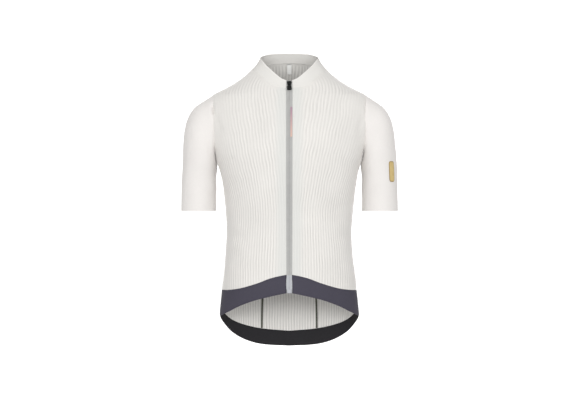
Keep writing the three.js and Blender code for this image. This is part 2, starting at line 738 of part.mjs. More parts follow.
// The slider's plate lies on the zip, and the tab's bar turns in the bridge that stands on it
function sliderGeometry() {
  const outline = new THREE.Shape();
  outline.moveTo(-SLIDER.bottomHalf, -SLIDER.halfLength);
  outline.lineTo(SLIDER.bottomHalf, -SLIDER.halfLength);
  outline.lineTo(SLIDER.topHalf, SLIDER.halfLength * 0.35);
  outline.absarc(SLIDER.topHalf - 1.5, SLIDER.halfLength - 1.5, 1.5, 0, Math.PI / 2, false);
  outline.absarc(-SLIDER.topHalf + 1.5, SLIDER.halfLength - 1.5, 1.5, Math.PI / 2, Math.PI, false);
  outline.lineTo(-SLIDER.topHalf, SLIDER.halfLength * 0.35);
  const plate = plateFromOutline(outline, -SEAM_GAP - SLIDER.thick, SLIDER.thick);

  // The bridge is drawn in Y and Z and runs along X; its feet sink a little into the plate
  const base = SEAM_GAP + SLIDER.thick;
  const sunk = base - 0.4;
  const arch = new THREE.Shape();
  arch.moveTo(sunk, -BRIDGE.halfLength);
  arch.lineTo(base + BRIDGE.rise - 1.2, -BRIDGE.halfLength);
  arch.absarc(base + BRIDGE.rise - 1.2, -BRIDGE.halfLength + 1.2, 1.2, -Math.PI / 2, 0, false);
  arch.absarc(base + BRIDGE.rise - 1.2, BRIDGE.halfLength - 1.2, 1.2, 0, Math.PI / 2, false);
  arch.lineTo(sunk, BRIDGE.halfLength);
  arch.lineTo(sunk, BRIDGE.holeHalf);
  arch.lineTo(base + BRIDGE.holeRise, BRIDGE.holeHalf);
  arch.lineTo(base + BRIDGE.holeRise, -BRIDGE.holeHalf);
  arch.lineTo(sunk, -BRIDGE.holeHalf);
  const bridge = new THREE.ExtrudeGeometry(arch, {
    depth: 2 * BRIDGE.halfWidth, bevelEnabled: false, curveSegments: 4,
  });
  const toYZ = new THREE.Matrix4().set(0, 0, -1, BRIDGE.halfWidth, -1, 0, 0, 0, 0, 1, 0, 0, 0, 0, 0, 1);
  bridge.applyMatrix4(toYZ);
  return fromSolid(toSolid(plate).add(toSolid(bridge)));
}

function pullGeometry(pivot) {
  const outline = new THREE.Shape();
  const half = PULL.bar / 2;
  outline.moveTo(-PULL.neckHalf, half);
  outline.lineTo(-PULL.neckHalf, -PULL.neckEnd);
  outline.lineTo(-PULL.half, -PULL.shoulder);
  outline.absarc(-PULL.half + PULL.corner, -PULL.length + PULL.corner, PULL.corner, Math.PI, 1.5 * Math.PI, false);
  outline.absarc(PULL.half - PULL.corner, -PULL.length + PULL.corner, PULL.corner, 1.5 * Math.PI, 0, false);
  outline.lineTo(PULL.half, -PULL.shoulder);
  outline.lineTo(PULL.neckHalf, -PULL.neckEnd);
  outline.lineTo(PULL.neckHalf, half);
  const window = new THREE.Path();
  window.moveTo(-PULL.windowHalf, -half);
  window.lineTo(PULL.windowHalf, -half);
  window.lineTo(PULL.windowHalf, -PULL.windowEnd);
  window.lineTo(-PULL.windowHalf, -PULL.windowEnd);
  outline.holes.push(window);
  return plateFromOutline(outline, -pivot - half, PULL.bar);
}

// The slider stands square to the zip, which leans back as it rises to the collar
function addSlider() {
  const zip = grids.zipLeft.rows.map((row) => row[1]);
  const row = rowAtHeight(grids.zipLeft, 1, SLIDER_HEIGHT);
  const below = zip[Math.floor(row)];
  const above = zip[Math.floor(row) + 1];
  const place = below.clone().lerp(above, row - Math.floor(row));
  const lean = Math.atan2(above.y - below.y, above.z - below.z);
  const holder = new THREE.Group();
  holder.position.copy(place);
  holder.rotation.x = -lean;
  garment.add(holder);
  const pivot = SEAM_GAP + SLIDER.thick + BRIDGE.holeRise / 2;
  add(holder, 'zip_slider', sliderGeometry(), colours.metal, 0.4, 0.6);
  add(holder, 'zip_pull', pullGeometry(pivot), colours.metal, 0.4, 0.6);
}
addSlider();

// The box at the foot of the zip
function addBox() {
  const foot = grids.zipLeft.rows[0][1];
  const shape = roundedRectangle(BOX.half, -BOX.height / 2, BOX.height / 2, BOX.corner);
  const box = add(garment, 'zip_box', plateFromOutline(shape, -BOX.thick, BOX.thick), colours.zipEnd, 0.5);
  box.position.set(0, foot.y - SEAM_GAP, foot.z + BOX.above);
}
addBox();

export default garment;
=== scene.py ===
# A short-sleeved cycling jersey with a full-length zip, filled out as if it were worn.
# The cloth is worked out in millimetres, as the solids are, and turned into metres as meshes are made.
import math

import bpy
import numpy as np
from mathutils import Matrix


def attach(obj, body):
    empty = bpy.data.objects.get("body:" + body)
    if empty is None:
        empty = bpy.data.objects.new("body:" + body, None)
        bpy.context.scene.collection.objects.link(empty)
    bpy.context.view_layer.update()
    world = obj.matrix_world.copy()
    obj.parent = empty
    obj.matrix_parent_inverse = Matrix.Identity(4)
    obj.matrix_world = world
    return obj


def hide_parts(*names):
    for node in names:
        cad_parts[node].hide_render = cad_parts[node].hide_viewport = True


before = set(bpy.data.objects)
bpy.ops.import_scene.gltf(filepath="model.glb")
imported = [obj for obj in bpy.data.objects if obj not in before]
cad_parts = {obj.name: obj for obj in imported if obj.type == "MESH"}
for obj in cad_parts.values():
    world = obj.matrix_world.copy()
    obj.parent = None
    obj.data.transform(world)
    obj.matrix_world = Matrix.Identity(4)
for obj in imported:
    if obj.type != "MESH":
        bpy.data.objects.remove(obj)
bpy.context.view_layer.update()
scene = bpy.context.scene
BODY_NAME = "jersey"
MM = 0.001

# Heights of the points that set the cut
ARMPIT = -228.0
SHOULDER_TIP = -61.0
SIDE_NECK = 2.0
FRONT_NECK = -50.0
BACK_NECK = 22.0
WAIST = -430.0
ZIP_HALF = 7.6
CLOTH = 1.2

# The body: height, half width, depth before and behind the side seams, and how square it is
BODY = [
    (-700, 172, 104, 118, 2.3), (-600, 170.5, 105, 114, 2.3), (-530, 163.5, 104, 107, 2.3),
    (-465, 157, 103, 99, 2.3), (-405, 153.2, 104, 96, 2.3), (-350, 155.5, 107, 99, 2.3),
    (-300, 160.5, 113, 105, 2.3), (-255, 167.5, 118, 110, 2.3), (ARMPIT, 175.5, 118.5, 113, 2.25),
    (-200, 186, 115, 115, 2.2), (-180, 194, 111, 115.5, 2.2), (-150, 203, 104.5, 115, 2.2),
    (-120, 207.5, 97, 112, 2.2), (-95, 206.5, 89.5, 107.5, 2.2), (-78, 202, 83.5, 103, 2.2),
    (SHOULDER_TIP, 186, 77, 97, 2.2), (-44, 153, 70, 90, 2.15), (-30, 129, 64, 83, 2.1),
    (-15, 108.5, 56, 75.5, 2.05), (SIDE_NECK, 91, 47, 67, 2), (BACK_NECK, 76, 38, 58, 2),
]
# How far out the armhole seam runs
ARMHOLE = [
    (ARMPIT, 175.5), (-215, 178.5), (-200, 181.3), (-180, 183), (-150, 183.5), (-107, 183.8),
    (-78, 184.8), (SHOULDER_TIP, 186),
]
# The hems by turn, 0 at the middle and 1 at the side: the edge, the band's top, the pockets' top
FRONT_HEM = [
    (0, -539.5, -495.5), (0.14, -548.5, -504.5), (0.28, -557.5, -517.5), (0.47, -572.5, -529.5),
    (0.64, -587, -534.5), (0.85, -598.5, -537), (1, -600, -537.5),
]
BACK_HEM = [
    (0, -687, -648.5, -492), (0.22, -682.5, -642.5, -490), (0.4, -670.5, -633, -494),
    (0.6, -648.5, -618, -500), (0.8, -621, -597, -505), (1, -600, -571, -507),
]
NECKLINE = [(0, 0), (0.11, 0.06), (0.18, 0.16), (0.29, 0.39), (0.47, 0.67), (0.75, 0.92), (1, 1)]
# The collar's upper edge; round is 0 at the zip, 1 at the side and 2 at the back
COLLAR_HALF_WIDTH = 72.0
COLLAR_FRONT = 64.5
COLLAR_BACK = 52.0
COLLAR_HOLLOW = 1.5
COLLAR_EDGE = [
    (0, -33), (0.15, -28), (0.3, -16), (0.45, -3), (0.6, 8.5), (0.73, 18.5), (0.87, 25), (1, 28.5),
    (1.15, 32.5), (1.33, 37), (1.5, 41), (1.75, 43.5), (2, 44.5),
]
# The sleeve by step: its outermost point, its innermost point, and its depth before and behind
SLEEVE = [
    (0, 186, SHOULDER_TIP, 175.5, ARMPIT, 55, 58), (1, 203.5, -72.5, 176.3, -237, 58, 61),
    (2, 231, -92, 177, -247, 60, 63), (3, 247.5, -117, 177.5, -259, 60, 63),
    (4, 255.5, -145, 178, -272, 58, 61), (5, 259.5, -180, 178.3, -286, 55.5, 59),
    (6, 262.3, -220, 178.6, -300, 53, 56.5), (7, 264, -265, 178.8, -315, 51, 54),
    (8, 264.8, -308, 179, -331, 49.5, 52), (9, 265, -345.5, 179, -345.5, 48, 50),
]
SLEEVE_LAST = 9
CAP_BLEND = 0.4

# Pockets, as shares of the way from the middle of the back to the side seam
POCKET_PARTING = 3 / 13
POCKET_END = 12 / 13

# Ribs of the knit: height on the body and the distance from rib to rib
FRONT_PITCH = [(-700, 7.2), (-480, 7.0), (-420, 6.6), (-340, 6.4), (-240, 7.4), (-140, 8.0), (30, 8.3)]
BACK_PITCH = [(-700, 7.0), (-480, 7.0), (-340, 6.6), (-240, 7.4), (-140, 8.0), (30, 8.3)]
# Height on the body and how far the ribs sway from side to side
RIB_SWAY = [(-700, 0.3), (-430, 0.4), (-330, 0.6), (-230, 0.9), (-110, 1.0), (30, 0.8)]
# Height on the front and how far out from the zip the ribs have spread there
RIB_SPREAD = [(-360, 0), (-330, 0.5), (-270, 4), (-180, 14), (-60, 28), (30, 36)]
RIB_HEIGHT = 0.25
# How far the cloth stands up beside an armhole seam, over what distance, and the heights between
# which that fades out above and below
FILL = 2.6
FILL_REACH = 13.0
FILL_TOP = (-75, -110)
FILL_FOOT = (-222, -185)
# Folds beside the armhole in front, where body and sleeve sink in: height, length, width, and depth
# on the wearer's left and right
FOLDS = [(-208, 13, 7.5, 26, 26), (-102, 11, 4, 1.5, 7)]
# Height on the front and how near the zip's middle its cloth begins
ZIP_REACH = [(-545, 6.3), (-430, 6.7), (-200, 7.3), (-50, 7.5)]


def mix(a, b, t):
    return a + (b - a) * t


def smooth(low, high, at):
    """0 up to low, 1 from high, and a soft step between them."""
    t = np.clip((at - low) / (high - low), 0, 1)
    return t * t * (3 - 2 * t)


def bell(at, reach):
    """1 at 0, and a soft fall on both sides over about the reach."""
    return np.exp(-((at / reach) ** 2))


def unit(vectors):
    return vectors / np.maximum(np.linalg.norm(vectors, axis=-1, keepdims=True), 1e-9)


def along(table, column, at):
    """A smooth curve through one column of a table whose first column is the place."""
    places = np.array([row[0] for row in table], float)
    values = np.array([row[column] for row in table], float)
    slopes = np.empty_like(values)
    slopes[1:-1] = (values[2:] - values[:-2]) / (places[2:] - places[:-2])
    slopes[0] = (values[1] - values[0]) / (places[1] - places[0])
    slopes[-1] = (values[-1] - values[-2]) / (places[-1] - places[-2])
    at = np.clip(at, places[0], places[-1])
    k = np.clip(np.searchsorted(places, at, side="right") - 1, 0, len(places) - 2)
    step = places[k + 1] - places[k]
    t = (at - places[k]) / step
    rise = (2 * t**3 - 3 * t**2 + 1) * values[k] + (3 * t**2 - 2 * t**3) * values[k + 1]
    return rise + (t**3 - 2 * t**2 + t) * step * slopes[k] + (t**3 - t**2) * step * slopes[k + 1]


RIPPLE_TERMS = 7


def ripple(u, v, across, length, seed):
    """A smooth uneven field of about unit strength, with features of the two sizes given."""
    random = np.random.default_rng(seed)
    total = 0
    for _ in range(RIPPLE_TERMS):
        way_u, way_v = random.normal(size=2)
        phase = random.uniform(0, 2 * math.pi)
        total = total + np.sin(2.2 * (u / across * way_u + v / length * way_v) + phase)
    return total / math.sqrt(RIPPLE_TERMS / 2)


# The surfaces of the cloth

def section(z):
    return [along(BODY, column, z) for column in (1, 2, 3, 4)]


def body_point(z, turn, face, side):
    half_width, front, back, square = section(z)
    angle = turn * math.pi / 2
    depth = front if face < 0 else back
    x = side * half_width * np.sin(angle) ** (2 / square)
    y = face * depth * np.maximum(np.cos(angle), 0) ** (2 / square)
    return np.stack([x, y, z], -1)


def turn_at(z, x):
    half_width, _, _, square = section(z)
    return np.arcsin(np.minimum(x / half_width, 1) ** (square / 2)) / (math.pi / 2)


def armhole_turn(z):
    inside = (z > ARMPIT) & (z < SHOULDER_TIP)
    return np.where(inside, turn_at(z, along(ARMHOLE, 1, z)), 1.0)


def body_level(points):
    half_width, front, back, square = section(points[..., 2])
    depth = np.where(points[..., 1] < 0, front, back)
    return (np.abs(points[..., 0]) / half_width) ** square + (np.abs(points[..., 1]) / depth) ** square


def body_normals(points):
    probe = 0.05
    slopes = []
    for axis in range(3):
        shift = np.zeros(3)
        shift[axis] = probe
        slopes.append(body_level(points + shift) - body_level(points - shift))
    return unit(np.stack(slopes, -1))


def curve(table, column):
    return lambda turn: along(table, column, turn)


front_edge = curve(FRONT_HEM, 1)
front_band_top = curve(FRONT_HEM, 2)
back_edge = curve(BACK_HEM, 1)
back_band_top = curve(BACK_HEM, 2)
pocket_top = curve(BACK_HEM, 3)
front_rise = curve(NECKLINE, 1)


def level(z):
    return lambda turn: z + 0 * turn


def between(low, high, shares):
    return [lambda turn, t=t: mix(low(turn), high(turn), t) for t in shares]


def panel_rows(low, neck_rise, middle_neck, skirt, chest, armhole, shoulder):
    """Heights of a body panel's rows from its lower edge to the collar, as functions of turn."""
    rows = between(low, level(WAIST), np.linspace(0, 1, skirt + 1)[:-1])
    rows += [level(z) for z in np.linspace(WAIST, ARMPIT, chest + 1)[:-1]]
    half = (SHOULDER_TIP - ARMPIT) / 2
    angles = np.linspace(0, math.pi, armhole + 1)[:-1]
    rows += [level(ARMPIT + half * (1 - math.cos(angle))) for angle in angles]

    def shoulder_row(t):
        at_side = mix(SHOULDER_TIP, SIDE_NECK, t)
        at_middle = mix(SHOULDER_TIP, middle_neck, t)
        return lambda turn: mix(at_middle, at_side, neck_rise(turn))

    rows += [shoulder_row(t) for t in np.linspace(0, 1, shoulder + 1)]
    return rows


def back_rise(turn):
    return 1 - np.cos(turn * math.pi / 2)


def row_points(height, shares, face, side):
    """One row of a panel, whose shares run from the zip or the middle of the back to its seam."""
    z = height(shares)
    turn = shares
    for _ in range(3):
        first = turn_at(z, along(ZIP_REACH, 1, z)) if face < 0 else 0.0
        turn = mix(first, armhole_turn(z), shares)
        z = height(turn)
    return body_point(z, turn, face, side)


FRINGE = np.array([0.0, 0.0015, 0.004, 0.008])


def fringed(count):
    """Even shares from 0 to 1, with finer ones near both ends."""
    even = np.linspace(0, 1, count + 1)[1:-1]
    clear = FRINGE[-1] * 1.3
    return np.concatenate([FRINGE, even[(even > clear) & (even < 1 - clear)], 1 - FRINGE[::-1]])


def with_edges(rows, fine=(0.08, 0.25, 0.5)):
    """Adds rows close to the ends, where the cloth turns into its seams."""
    start = between(rows[0], rows[1], fine)
    end = between(rows[-1], rows[-2], fine[::-1])
    return [rows[0], *start, *rows[1:-1], *end, rows[-1]]


def on_body(lines):
    points = np.stack(lines)
    return points, body_normals(points)


def front_grid(rows, shares, side):
    return on_body([row_points(row, shares, -1, side) for row in rows])


def back_grid(rows, shares):
    """A grid on the back, whose shares run from -1 at the right side seam to 1 at the left."""
    points = np.stack([row_points(row, np.abs(shares), 1, 1) for row in rows])
    points[..., 0] *= np.sign(shares)
    return points, body_normals(points)


def mirrored(half):
    """Shares on both sides of the middle of the back."""
    return np.concatenate([-half[::-1], [0.0], half])


def back_line(z, x):
    """Points of the back's form at one height."""
    line = body_point(np.full(len(x), z), turn_at(z, np.abs(x)), 1, 1)
    line[:, 0] *= np.sign(x)
    return line


def band_rows(edge, top):
    return with_edges(between(edge, top, np.linspace(0, 1, 13)), fine=(0.1, 0.3, 0.6))


def grid_normals(points, outward, wraps=False):
    if wraps:
        across = np.roll(points, -1, 1) - np.roll(points, 1, 1)
    else:
        across = np.gradient(points, axis=1)
    normals = unit(np.cross(across, np.gradient(points, axis=0)))
    return np.where((normals * outward).sum(-1, keepdims=True) < 0, -normals, normals)


def sleeve_points(angle, step, side):
    """Points of a sleeve: angle runs round it from its top over the front, step from armhole to cuff."""
    def ellipse(at):
        outer_x, outer_z, inner_x, inner_z, front, back = (along(SLEEVE, c, at) for c in range(1, 7))
        reach_x, reach_z = (outer_x - inner_x) / 2, (outer_z - inner_z) / 2
        depth = np.where(np.sin(angle) > 0, front, back)
        x = (outer_x + inner_x) / 2 + reach_x * np.cos(angle)
        z = (outer_z + inner_z) / 2 + reach_z * np.cos(angle)
        return np.stack([x, -depth * np.sin(angle), z], -1)

    z = ARMPIT + (SHOULDER_TIP - ARMPIT) / 2 * (1 + np.cos(angle))
    front_seam = body_point(z, armhole_turn(z), -1, 1)
    back_seam = body_point(z, armhole_turn(z), 1, 1)
    seam = np.where((np.sin(angle) >= 0)[..., None], front_seam, back_seam)
    pull = np.maximum(1 - step / SLEEVE_LAST / CAP_BLEND, 0) ** 2
    points = ellipse(step) + (seam - ellipse(np.zeros_like(step))) * pull[..., None]
    points[..., 0] *= side
    return points


def sleeve_grid(side, around, steps):
    angle, step = np.meshgrid(np.arange(around) * 2 * math.pi / around, steps)
    points = sleeve_points(angle, step, side)
    outward = points - points.mean(axis=1, keepdims=True)
    return points, grid_normals(points, outward, wraps=True)


def collar_grid(shares, rises):
    neck = row_points(front_rows[-1], shares, -1, 1)
    nape = row_points(back_rows[-1], shares[::-1], 1, 1)[1:]
    seam = np.concatenate([neck, nape])
    first = math.asin(ZIP_HALF / COLLAR_HALF_WIDTH) / (math.pi / 2)
    rounds = np.concatenate([mix(first, 1, shares), 2 - shares[::-1][1:]])
    angle = rounds * math.pi / 2
    depth = np.where(rounds < 1, COLLAR_FRONT, COLLAR_BACK)
    edge = np.stack([
        COLLAR_HALF_WIDTH * np.sin(angle), -depth * np.cos(angle), along(COLLAR_EDGE, 1, rounds),
    ], -1)
    lines = []
    for rise in rises:
        half = mix(seam, edge, rise)
        inward = unit(-half * (1, 1, 0))
        share = np.minimum(np.abs(half[:, :1]) / COLLAR_HALF_WIDTH, 1)
        half = half + inward * COLLAR_HOLLOW * math.sin(rise * math.pi) * share
        lines.append(np.concatenate([half[:-1] * (-1, 1, 1), half[::-1]]))
    points = np.stack(lines)
    return points, grid_normals(points, points * (1, 1, 0))


# Lengths along a grid's rows and columns, and the reliefs that are worked out from them

def lengths(points, axis):
    steps = np.linalg.norm(np.diff(points, axis=axis), axis=-1)
    start = np.zeros_like(np.take(steps, [0], axis=axis))
    return np.concatenate([start, np.cumsum(steps, axis=axis)], axis=axis)


class Panel:
    """A grid of cloth with its normals, its lengths, and how far it stands off its form."""

    def __init__(self, grid, wraps=False, centred=False):
        self.points, self.normals = grid
        self.wraps = wraps
        self.piece = None
        self.across = lengths(self.points, 1)
        self.up = lengths(self.points, 0)
        self.width = self.across[:, -1:]
        self.height = self.up[-1:, :]
        if centred:
            middle = self.points.shape[1] // 2
            self.across = self.across - self.across[:, middle:middle + 1]
        self.relief = np.zeros(self.points.shape[:2])
        self.shift = np.zeros(self.points.shape)
        self.rib = np.zeros(self.points.shape[:2])
        self.ribbed = np.zeros(self.points.shape[:2])
        self.x, self.y, self.z = (self.points[..., axis] for axis in range(3))

    def from_start(self):
        return self.across - self.across[:, :1]

    def dip(self, depth, reach, *edges):
        """The cloth sinks towards the edges named, as it does where it is sewn or cut."""
        gaps = {
            "start": self.from_start(), "end": self.width - self.from_start(),
            "low": self.up, "high": self.height - self.up,
        }
        for edge in edges:
            self.relief -= depth * bell(gaps[edge], reach)

    def fill_armhole(self, gap):
        """The cloth stands up where body and sleeve meet at an angle, which softens the hollow there."""
        front = smooth(*FILL_TOP, self.z) * smooth(*FILL_FOOT, self.z) * (self.y < 0)
        self.relief += FILL * front * bell(gap, FILL_REACH)
        for height, length, width, left_depth, right_depth in FOLDS:
            fold = bell(self.z - height, length) * bell(gap, width)
            depth = np.where(self.x > 0, left_depth, right_depth)
            self.shift[..., 1] += depth * fold * smooth(10, 30, -self.y)

    def add_ribs(self, pitches, seed, strength, spread=0.0):
        """Wavy ribs that run down the cloth. strength is how far they stand out, from 0 to 1."""
        sway = along(RIB_SWAY, 1, self.z)
        wander = ripple(self.across, self.z, 46, 30, seed)
        wander += 0.6 * ripple(self.across, self.z, 17, 48, seed + 1)
        pitch = along(pitches, 1, self.z)
        self.rib = 2 * math.pi * (self.across - spread + sway * wander) / pitch
        patchy = np.clip(0.9 + 0.25 * ripple(self.across, self.z, 9, 24, seed + 2), 0.15, 1.4)
        self.ribbed = strength * patchy
        self.relief += RIB_HEIGHT * self.ribbed * np.sin(self.rib)

    def add_creases(self, creases):
        """Soft troughs and ridges on both sides, each from one point of the front or back to another."""
        for x1, z1, x2, z2, reach, rise in creases:
            for side in (-1, 1):
                start = np.array([side * x1, z1])
                run = np.array([side * x2, z2]) - start
                offset = np.stack([self.x, self.z], -1) - start
                t = np.clip(offset @ run / (run @ run), 0, 1)
                gap = np.linalg.norm(offset - t[..., None] * run, axis=-1)
                fade = smooth(0, 0.25, t) * smooth(0, 0.35, 1 - t)
                self.relief += rise * fade * bell(gap, reach)

    def outer(self):
        return self.points + self.normals * self.relief[..., None] + self.shift


def add_object(name, data):
    thing = bpy.data.objects.new(name, data)
    scene.collection.objects.link(thing)
    return thing


SHARP_ANGLE = math.radians(40)


def new_mesh(name, vertices, faces):
    mesh = bpy.data.meshes.new(name)
    mesh.from_pydata([tuple(v) for v in (vertices * MM).tolist()], [], faces)
    mesh.validate()
    mesh.update()
    mesh.shade_smooth()
    mesh.set_sharp_from_angle(angle=SHARP_ANGLE)
    return add_object(name, mesh)


def shell_faces(rows, columns, wraps):
    """Quads of a closed shell: a grid, the same grid under it, and the walls round its edges."""
    cells = columns if wraps else columns - 1
    j, i = np.meshgrid(np.arange(rows - 1), np.arange(cells), indexing="ij")
    a = j * columns + i
    b = j * columns + (i + 1) % columns
    c, d = b + columns, a + columns
    under = rows * columns
    top = np.stack([a, b, c, d], -1).reshape(-1, 4)
    bottom = np.stack([a, d, c, b], -1).reshape(-1, 4) + under
    i = np.arange(cells)
    ahead = (i + 1) % columns
    last = (rows - 1) * columns
    walls = [
        np.stack([ahead, i, i + under, ahead + under], -1),
        np.stack([i + last, ahead + last, ahead + last + under, i + last + under], -1),
    ]
    if not wraps:
        j = np.arange(rows - 1) * columns
        end = j + columns - 1
        walls.append(np.stack([j, j + columns, j + columns + under, j + under], -1))
        walls.append(np.stack([end + columns, end, end + under, end + columns + under], -1))
    return np.concatenate([top, bottom, *walls])


def make_cloth(name, node, panel, material, thick=CLOTH):
    """The shell of a panel, which stands for a node of the frame."""
    outer = panel.outer()
    inner = outer - panel.normals * thick
    rows, columns = panel.relief.shape
    faces = shell_faces(rows, columns, panel.wraps)
    j, i = rows // 2, columns // 2
    facing = np.cross(outer[j, i + 1] - outer[j, i], outer[j + 1, i] - outer[j, i])
    if facing @ panel.normals[j, i] < 0:
        faces = faces[:, ::-1]
    vertices = np.concatenate([outer.reshape(-1, 3), inner.reshape(-1, 3)])
    piece = new_mesh(name, vertices, faces.tolist())
    mesh = piece.data
    for key, values in (("rib", panel.rib), ("ribbed", panel.ribbed)):
        layer = mesh.attributes.new(key, "FLOAT", "POINT")
        layer.data.foreach_set("value", np.tile(values.ravel(), 2).astype(np.float32))
    flat = np.stack([panel.across, panel.up], -1).reshape(-1, 2) * MM
    corners = np.empty(len(mesh.loops), np.int32)
    mesh.loops.foreach_get("vertex_index", corners)
    layer = mesh.uv_layers.new(name="cloth")
    layer.data.foreach_set("uv", np.tile(flat, (2, 1))[corners].astype(np.float32).ravel())
    dress(piece, material)
    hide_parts(node)
    panel.piece = piece
    return panel


def dress(piece, material):
    piece.data.materials.append(material)
    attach(piece, BODY_NAME)


# Threads: each stitch is a short tube that rises out of the cloth and sinks back into it

def at_place(goal, place, points):
    """Points of a line at goals, where place says how far along it each of its own points lies."""
    return np.stack([np.interp(goal, place, points[:, axis]) for axis in range(3)], -1)


def resample(line, spacing):
    place = lengths(line, 0)
    return at_place(np.linspace(0, place[-1], int(place[-1] / spacing) + 1), place, line)


def line_beside(panel, edge, distance):
    """Points and normals on a panel's face, a distance from one of its edges."""
    points, normals, place = panel.outer(), panel.normals, panel.from_start()
    if edge in ("low", "high"):
        points, normals, place = points.swapaxes(0, 1), normals.swapaxes(0, 1), panel.up.T
    goal = place[:, -1] - distance if edge in ("end", "high") else np.full(len(place), distance)
    return [
        np.array([at_place(*line) for line in zip(goal, place, table)]) for table in (points, normals)
    ]


def lines_beside(panels, *places):
    """Lines beside some panels' edges, where each place is an edge and the distance from it."""
    return [line_beside(panel, edge, gap) for edge, gap in places for panel in panels]


# The rings of a stitch: how far along it, how wide, and how high above the cloth
STITCH_RINGS = [(0.0, 0.5, -0.9), (0.22, 1.0, 0.35), (0.78, 1.0, 0.35), (1.0, 0.5, -0.9)]
STITCH_SHARE = 0.74


def stitch_line(points, normals, pitch, radius):
    """Vertices and faces of a row of stitches along a line."""
    place = lengths(points, 0)
    count = max(int(place[-1] / pitch), 1)
    pitch = place[-1] / count
    vertices, faces = [], []
    for k in range(count):
        first = len(vertices)
        for t, size, lift in STITCH_RINGS:
            goal = (k + 0.5 + (t - 0.5) * STITCH_SHARE) * pitch
            up = unit(at_place(goal, place, normals))
            near = np.clip([goal - 0.1, goal + 0.1], 0, place[-1])
            ahead = np.diff(at_place(near, place, points), axis=0)[0]
            out = unit(np.cross(ahead, up))
            centre = at_place(goal, place, points) + up * radius * lift
            for x, y in ((1, 0), (0, 1), (-1, 0), (0, -1)):
                vertices.append(centre + (out * x + up * y) * radius * size)
        faces += tube_faces(len(STITCH_RINGS), 4, first)
    return np.array(vertices), faces


def ring_faces(rings, sides, first=0):
    """Quads between rings of vertices that follow each other."""
    faces = []
    for j in range(rings - 1):
        for i in range(sides):
            a, b = first + j * sides + i, first + j * sides + (i + 1) % sides
            faces.append((a, b, b + sides, a + sides))
    return faces


def tube_faces(rings, sides, first=0):
    last = first + (rings - 1) * sides
    ends = [tuple(range(first, first + sides))[::-1], tuple(range(last, last + sides))]
    return ring_faces(rings, sides, first) + ends


def make_stitches(name, lines, material, pitch=2.8, radius=0.24):
    vertices, faces = [], []
    for points, normals in lines:
        more, sides = stitch_line(points, normals, pitch, radius)
        start = len(vertices)
        vertices.extend(more)
        faces.extend(tuple(index + start for index in side) for side in sides)
    dress(new_mesh(name, np.array(vertices), faces), material)


def make_tube(name, points, normals, radius, material, sides=8, squash=1.0):
    """A tube along a line, flattened along the line's normals."""
    ahead = unit(np.gradient(points, axis=0))
    out = unit(np.cross(ahead, normals))
    up = np.cross(out, ahead)
    angles = np.arange(sides) * 2 * math.pi / sides
    ring = out[:, None] * np.cos(angles)[:, None] + up[:, None] * np.sin(angles)[:, None] * squash
    vertices = (points[:, None] + ring * radius).reshape(-1, 3)
    dress(new_mesh(name, vertices, tube_faces(len(points), sides)), material)


# Materials

def linear(colour):
    values = [int(colour[k:k + 2], 16) / 255 for k in (1, 3, 5)]
    return [v / 12.92 if v <= 0.04045 else ((v + 0.055) / 1.055) ** 2.4 for v in values] + [1.0]


class Nodes:
    """A material's node tree, with short calls for its nodes."""

    def __init__(self, name, roughness, sheen=0.0, sheen_roughness=0.5, metallic=0.0, specular=0.3):
        self.material = bpy.data.materials.new(name)
        self.material.use_nodes = True
        self.tree = self.material.node_tree
        self.shader = self.tree.nodes["Principled BSDF"]
        self.shader.inputs["Roughness"].default_value = roughness
        self.shader.inputs["Sheen Weight"].default_value = sheen
        self.shader.inputs["Sheen Roughness"].default_value = sheen_roughness
        self.shader.inputs["Metallic"].default_value = metallic
        self.shader.inputs["Specular IOR Level"].default_value = specular
        self.place = self.add("ShaderNodeTexCoord").outputs["Object"]

    def add(self, kind, inputs=(), **settings):
        node = self.tree.nodes.new(kind)
        for key, value in settings.items():
            setattr(node, key, value)
        for key, value in dict(inputs).items():
            self.put(node.inputs[key], value)
        return node

    def put(self, socket, value):
        """Links what comes from a node, sets a plain value, and leaves the socket alone for None."""
        if hasattr(value, "is_output"):
            self.tree.links.new(value, socket)
        elif value is not None:
            socket.default_value = value

    def math(self, operation, a, b=None, clamp=False):
        settings = {"operation": operation, "use_clamp": clamp}
        return self.add("ShaderNodeMath", {0: a, 1: b}, **settings).outputs[0]

    def noise(self, vector, size, detail=2.0, roughness=0.5):
        """Noise from 0 to 1 whose features are of a size in metres."""
        inputs = {"Vector": vector, "Scale": 1 / size, "Detail": detail, "Roughness": roughness}
        return self.add("ShaderNodeTexNoise", inputs).outputs["Fac"]

    def wave(self, vector, size, direction):
        """Straight waves from 0 to 1 whose length is a size in metres."""
        inputs = {"Vector": vector, "Scale": math.pi / 10 / size, "Distortion": 0}
        settings = {"bands_direction": direction, "wave_profile": "SIN"}
        return self.add("ShaderNodeTexWave", inputs, **settings).outputs["Fac"]

    def attribute(self, name):
        return self.add("ShaderNodeAttribute", attribute_name=name).outputs["Fac"]

    def uv(self):
        return self.add("ShaderNodeUVMap", uv_map="cloth").outputs["UV"]

    def uv_part(self, axis):
        """How far along the cloth, in metres, in X across it or in Y up it."""
        return self.add("ShaderNodeSeparateXYZ", {0: self.uv()}).outputs[axis]

    def blend(self, factor, a, b):
        inputs = {"Factor": factor, 6: a, 7: b}
        return self.add("ShaderNodeMix", inputs, data_type="RGBA").outputs[2]

    def bump(self, height, distance, strength=1.0, normal=None):
        inputs = {"Strength": strength, "Distance": distance, "Height": height, "Normal": normal}
        return self.add("ShaderNodeBump", inputs).outputs["Normal"]

    def finish(self, colour, normal=None, roughness=None):
        self.put(self.shader.inputs["Base Color"], colour)
        self.put(self.shader.inputs["Normal"], normal)
        self.put(self.shader.inputs["Roughness"], roughness)
        return self.material


# The knit's loops across and along the cloth, and the width of its faced strip, in metres
WALE = 0.0009
COURSE = 0.0007
STRIP_WIDTH = 0.030


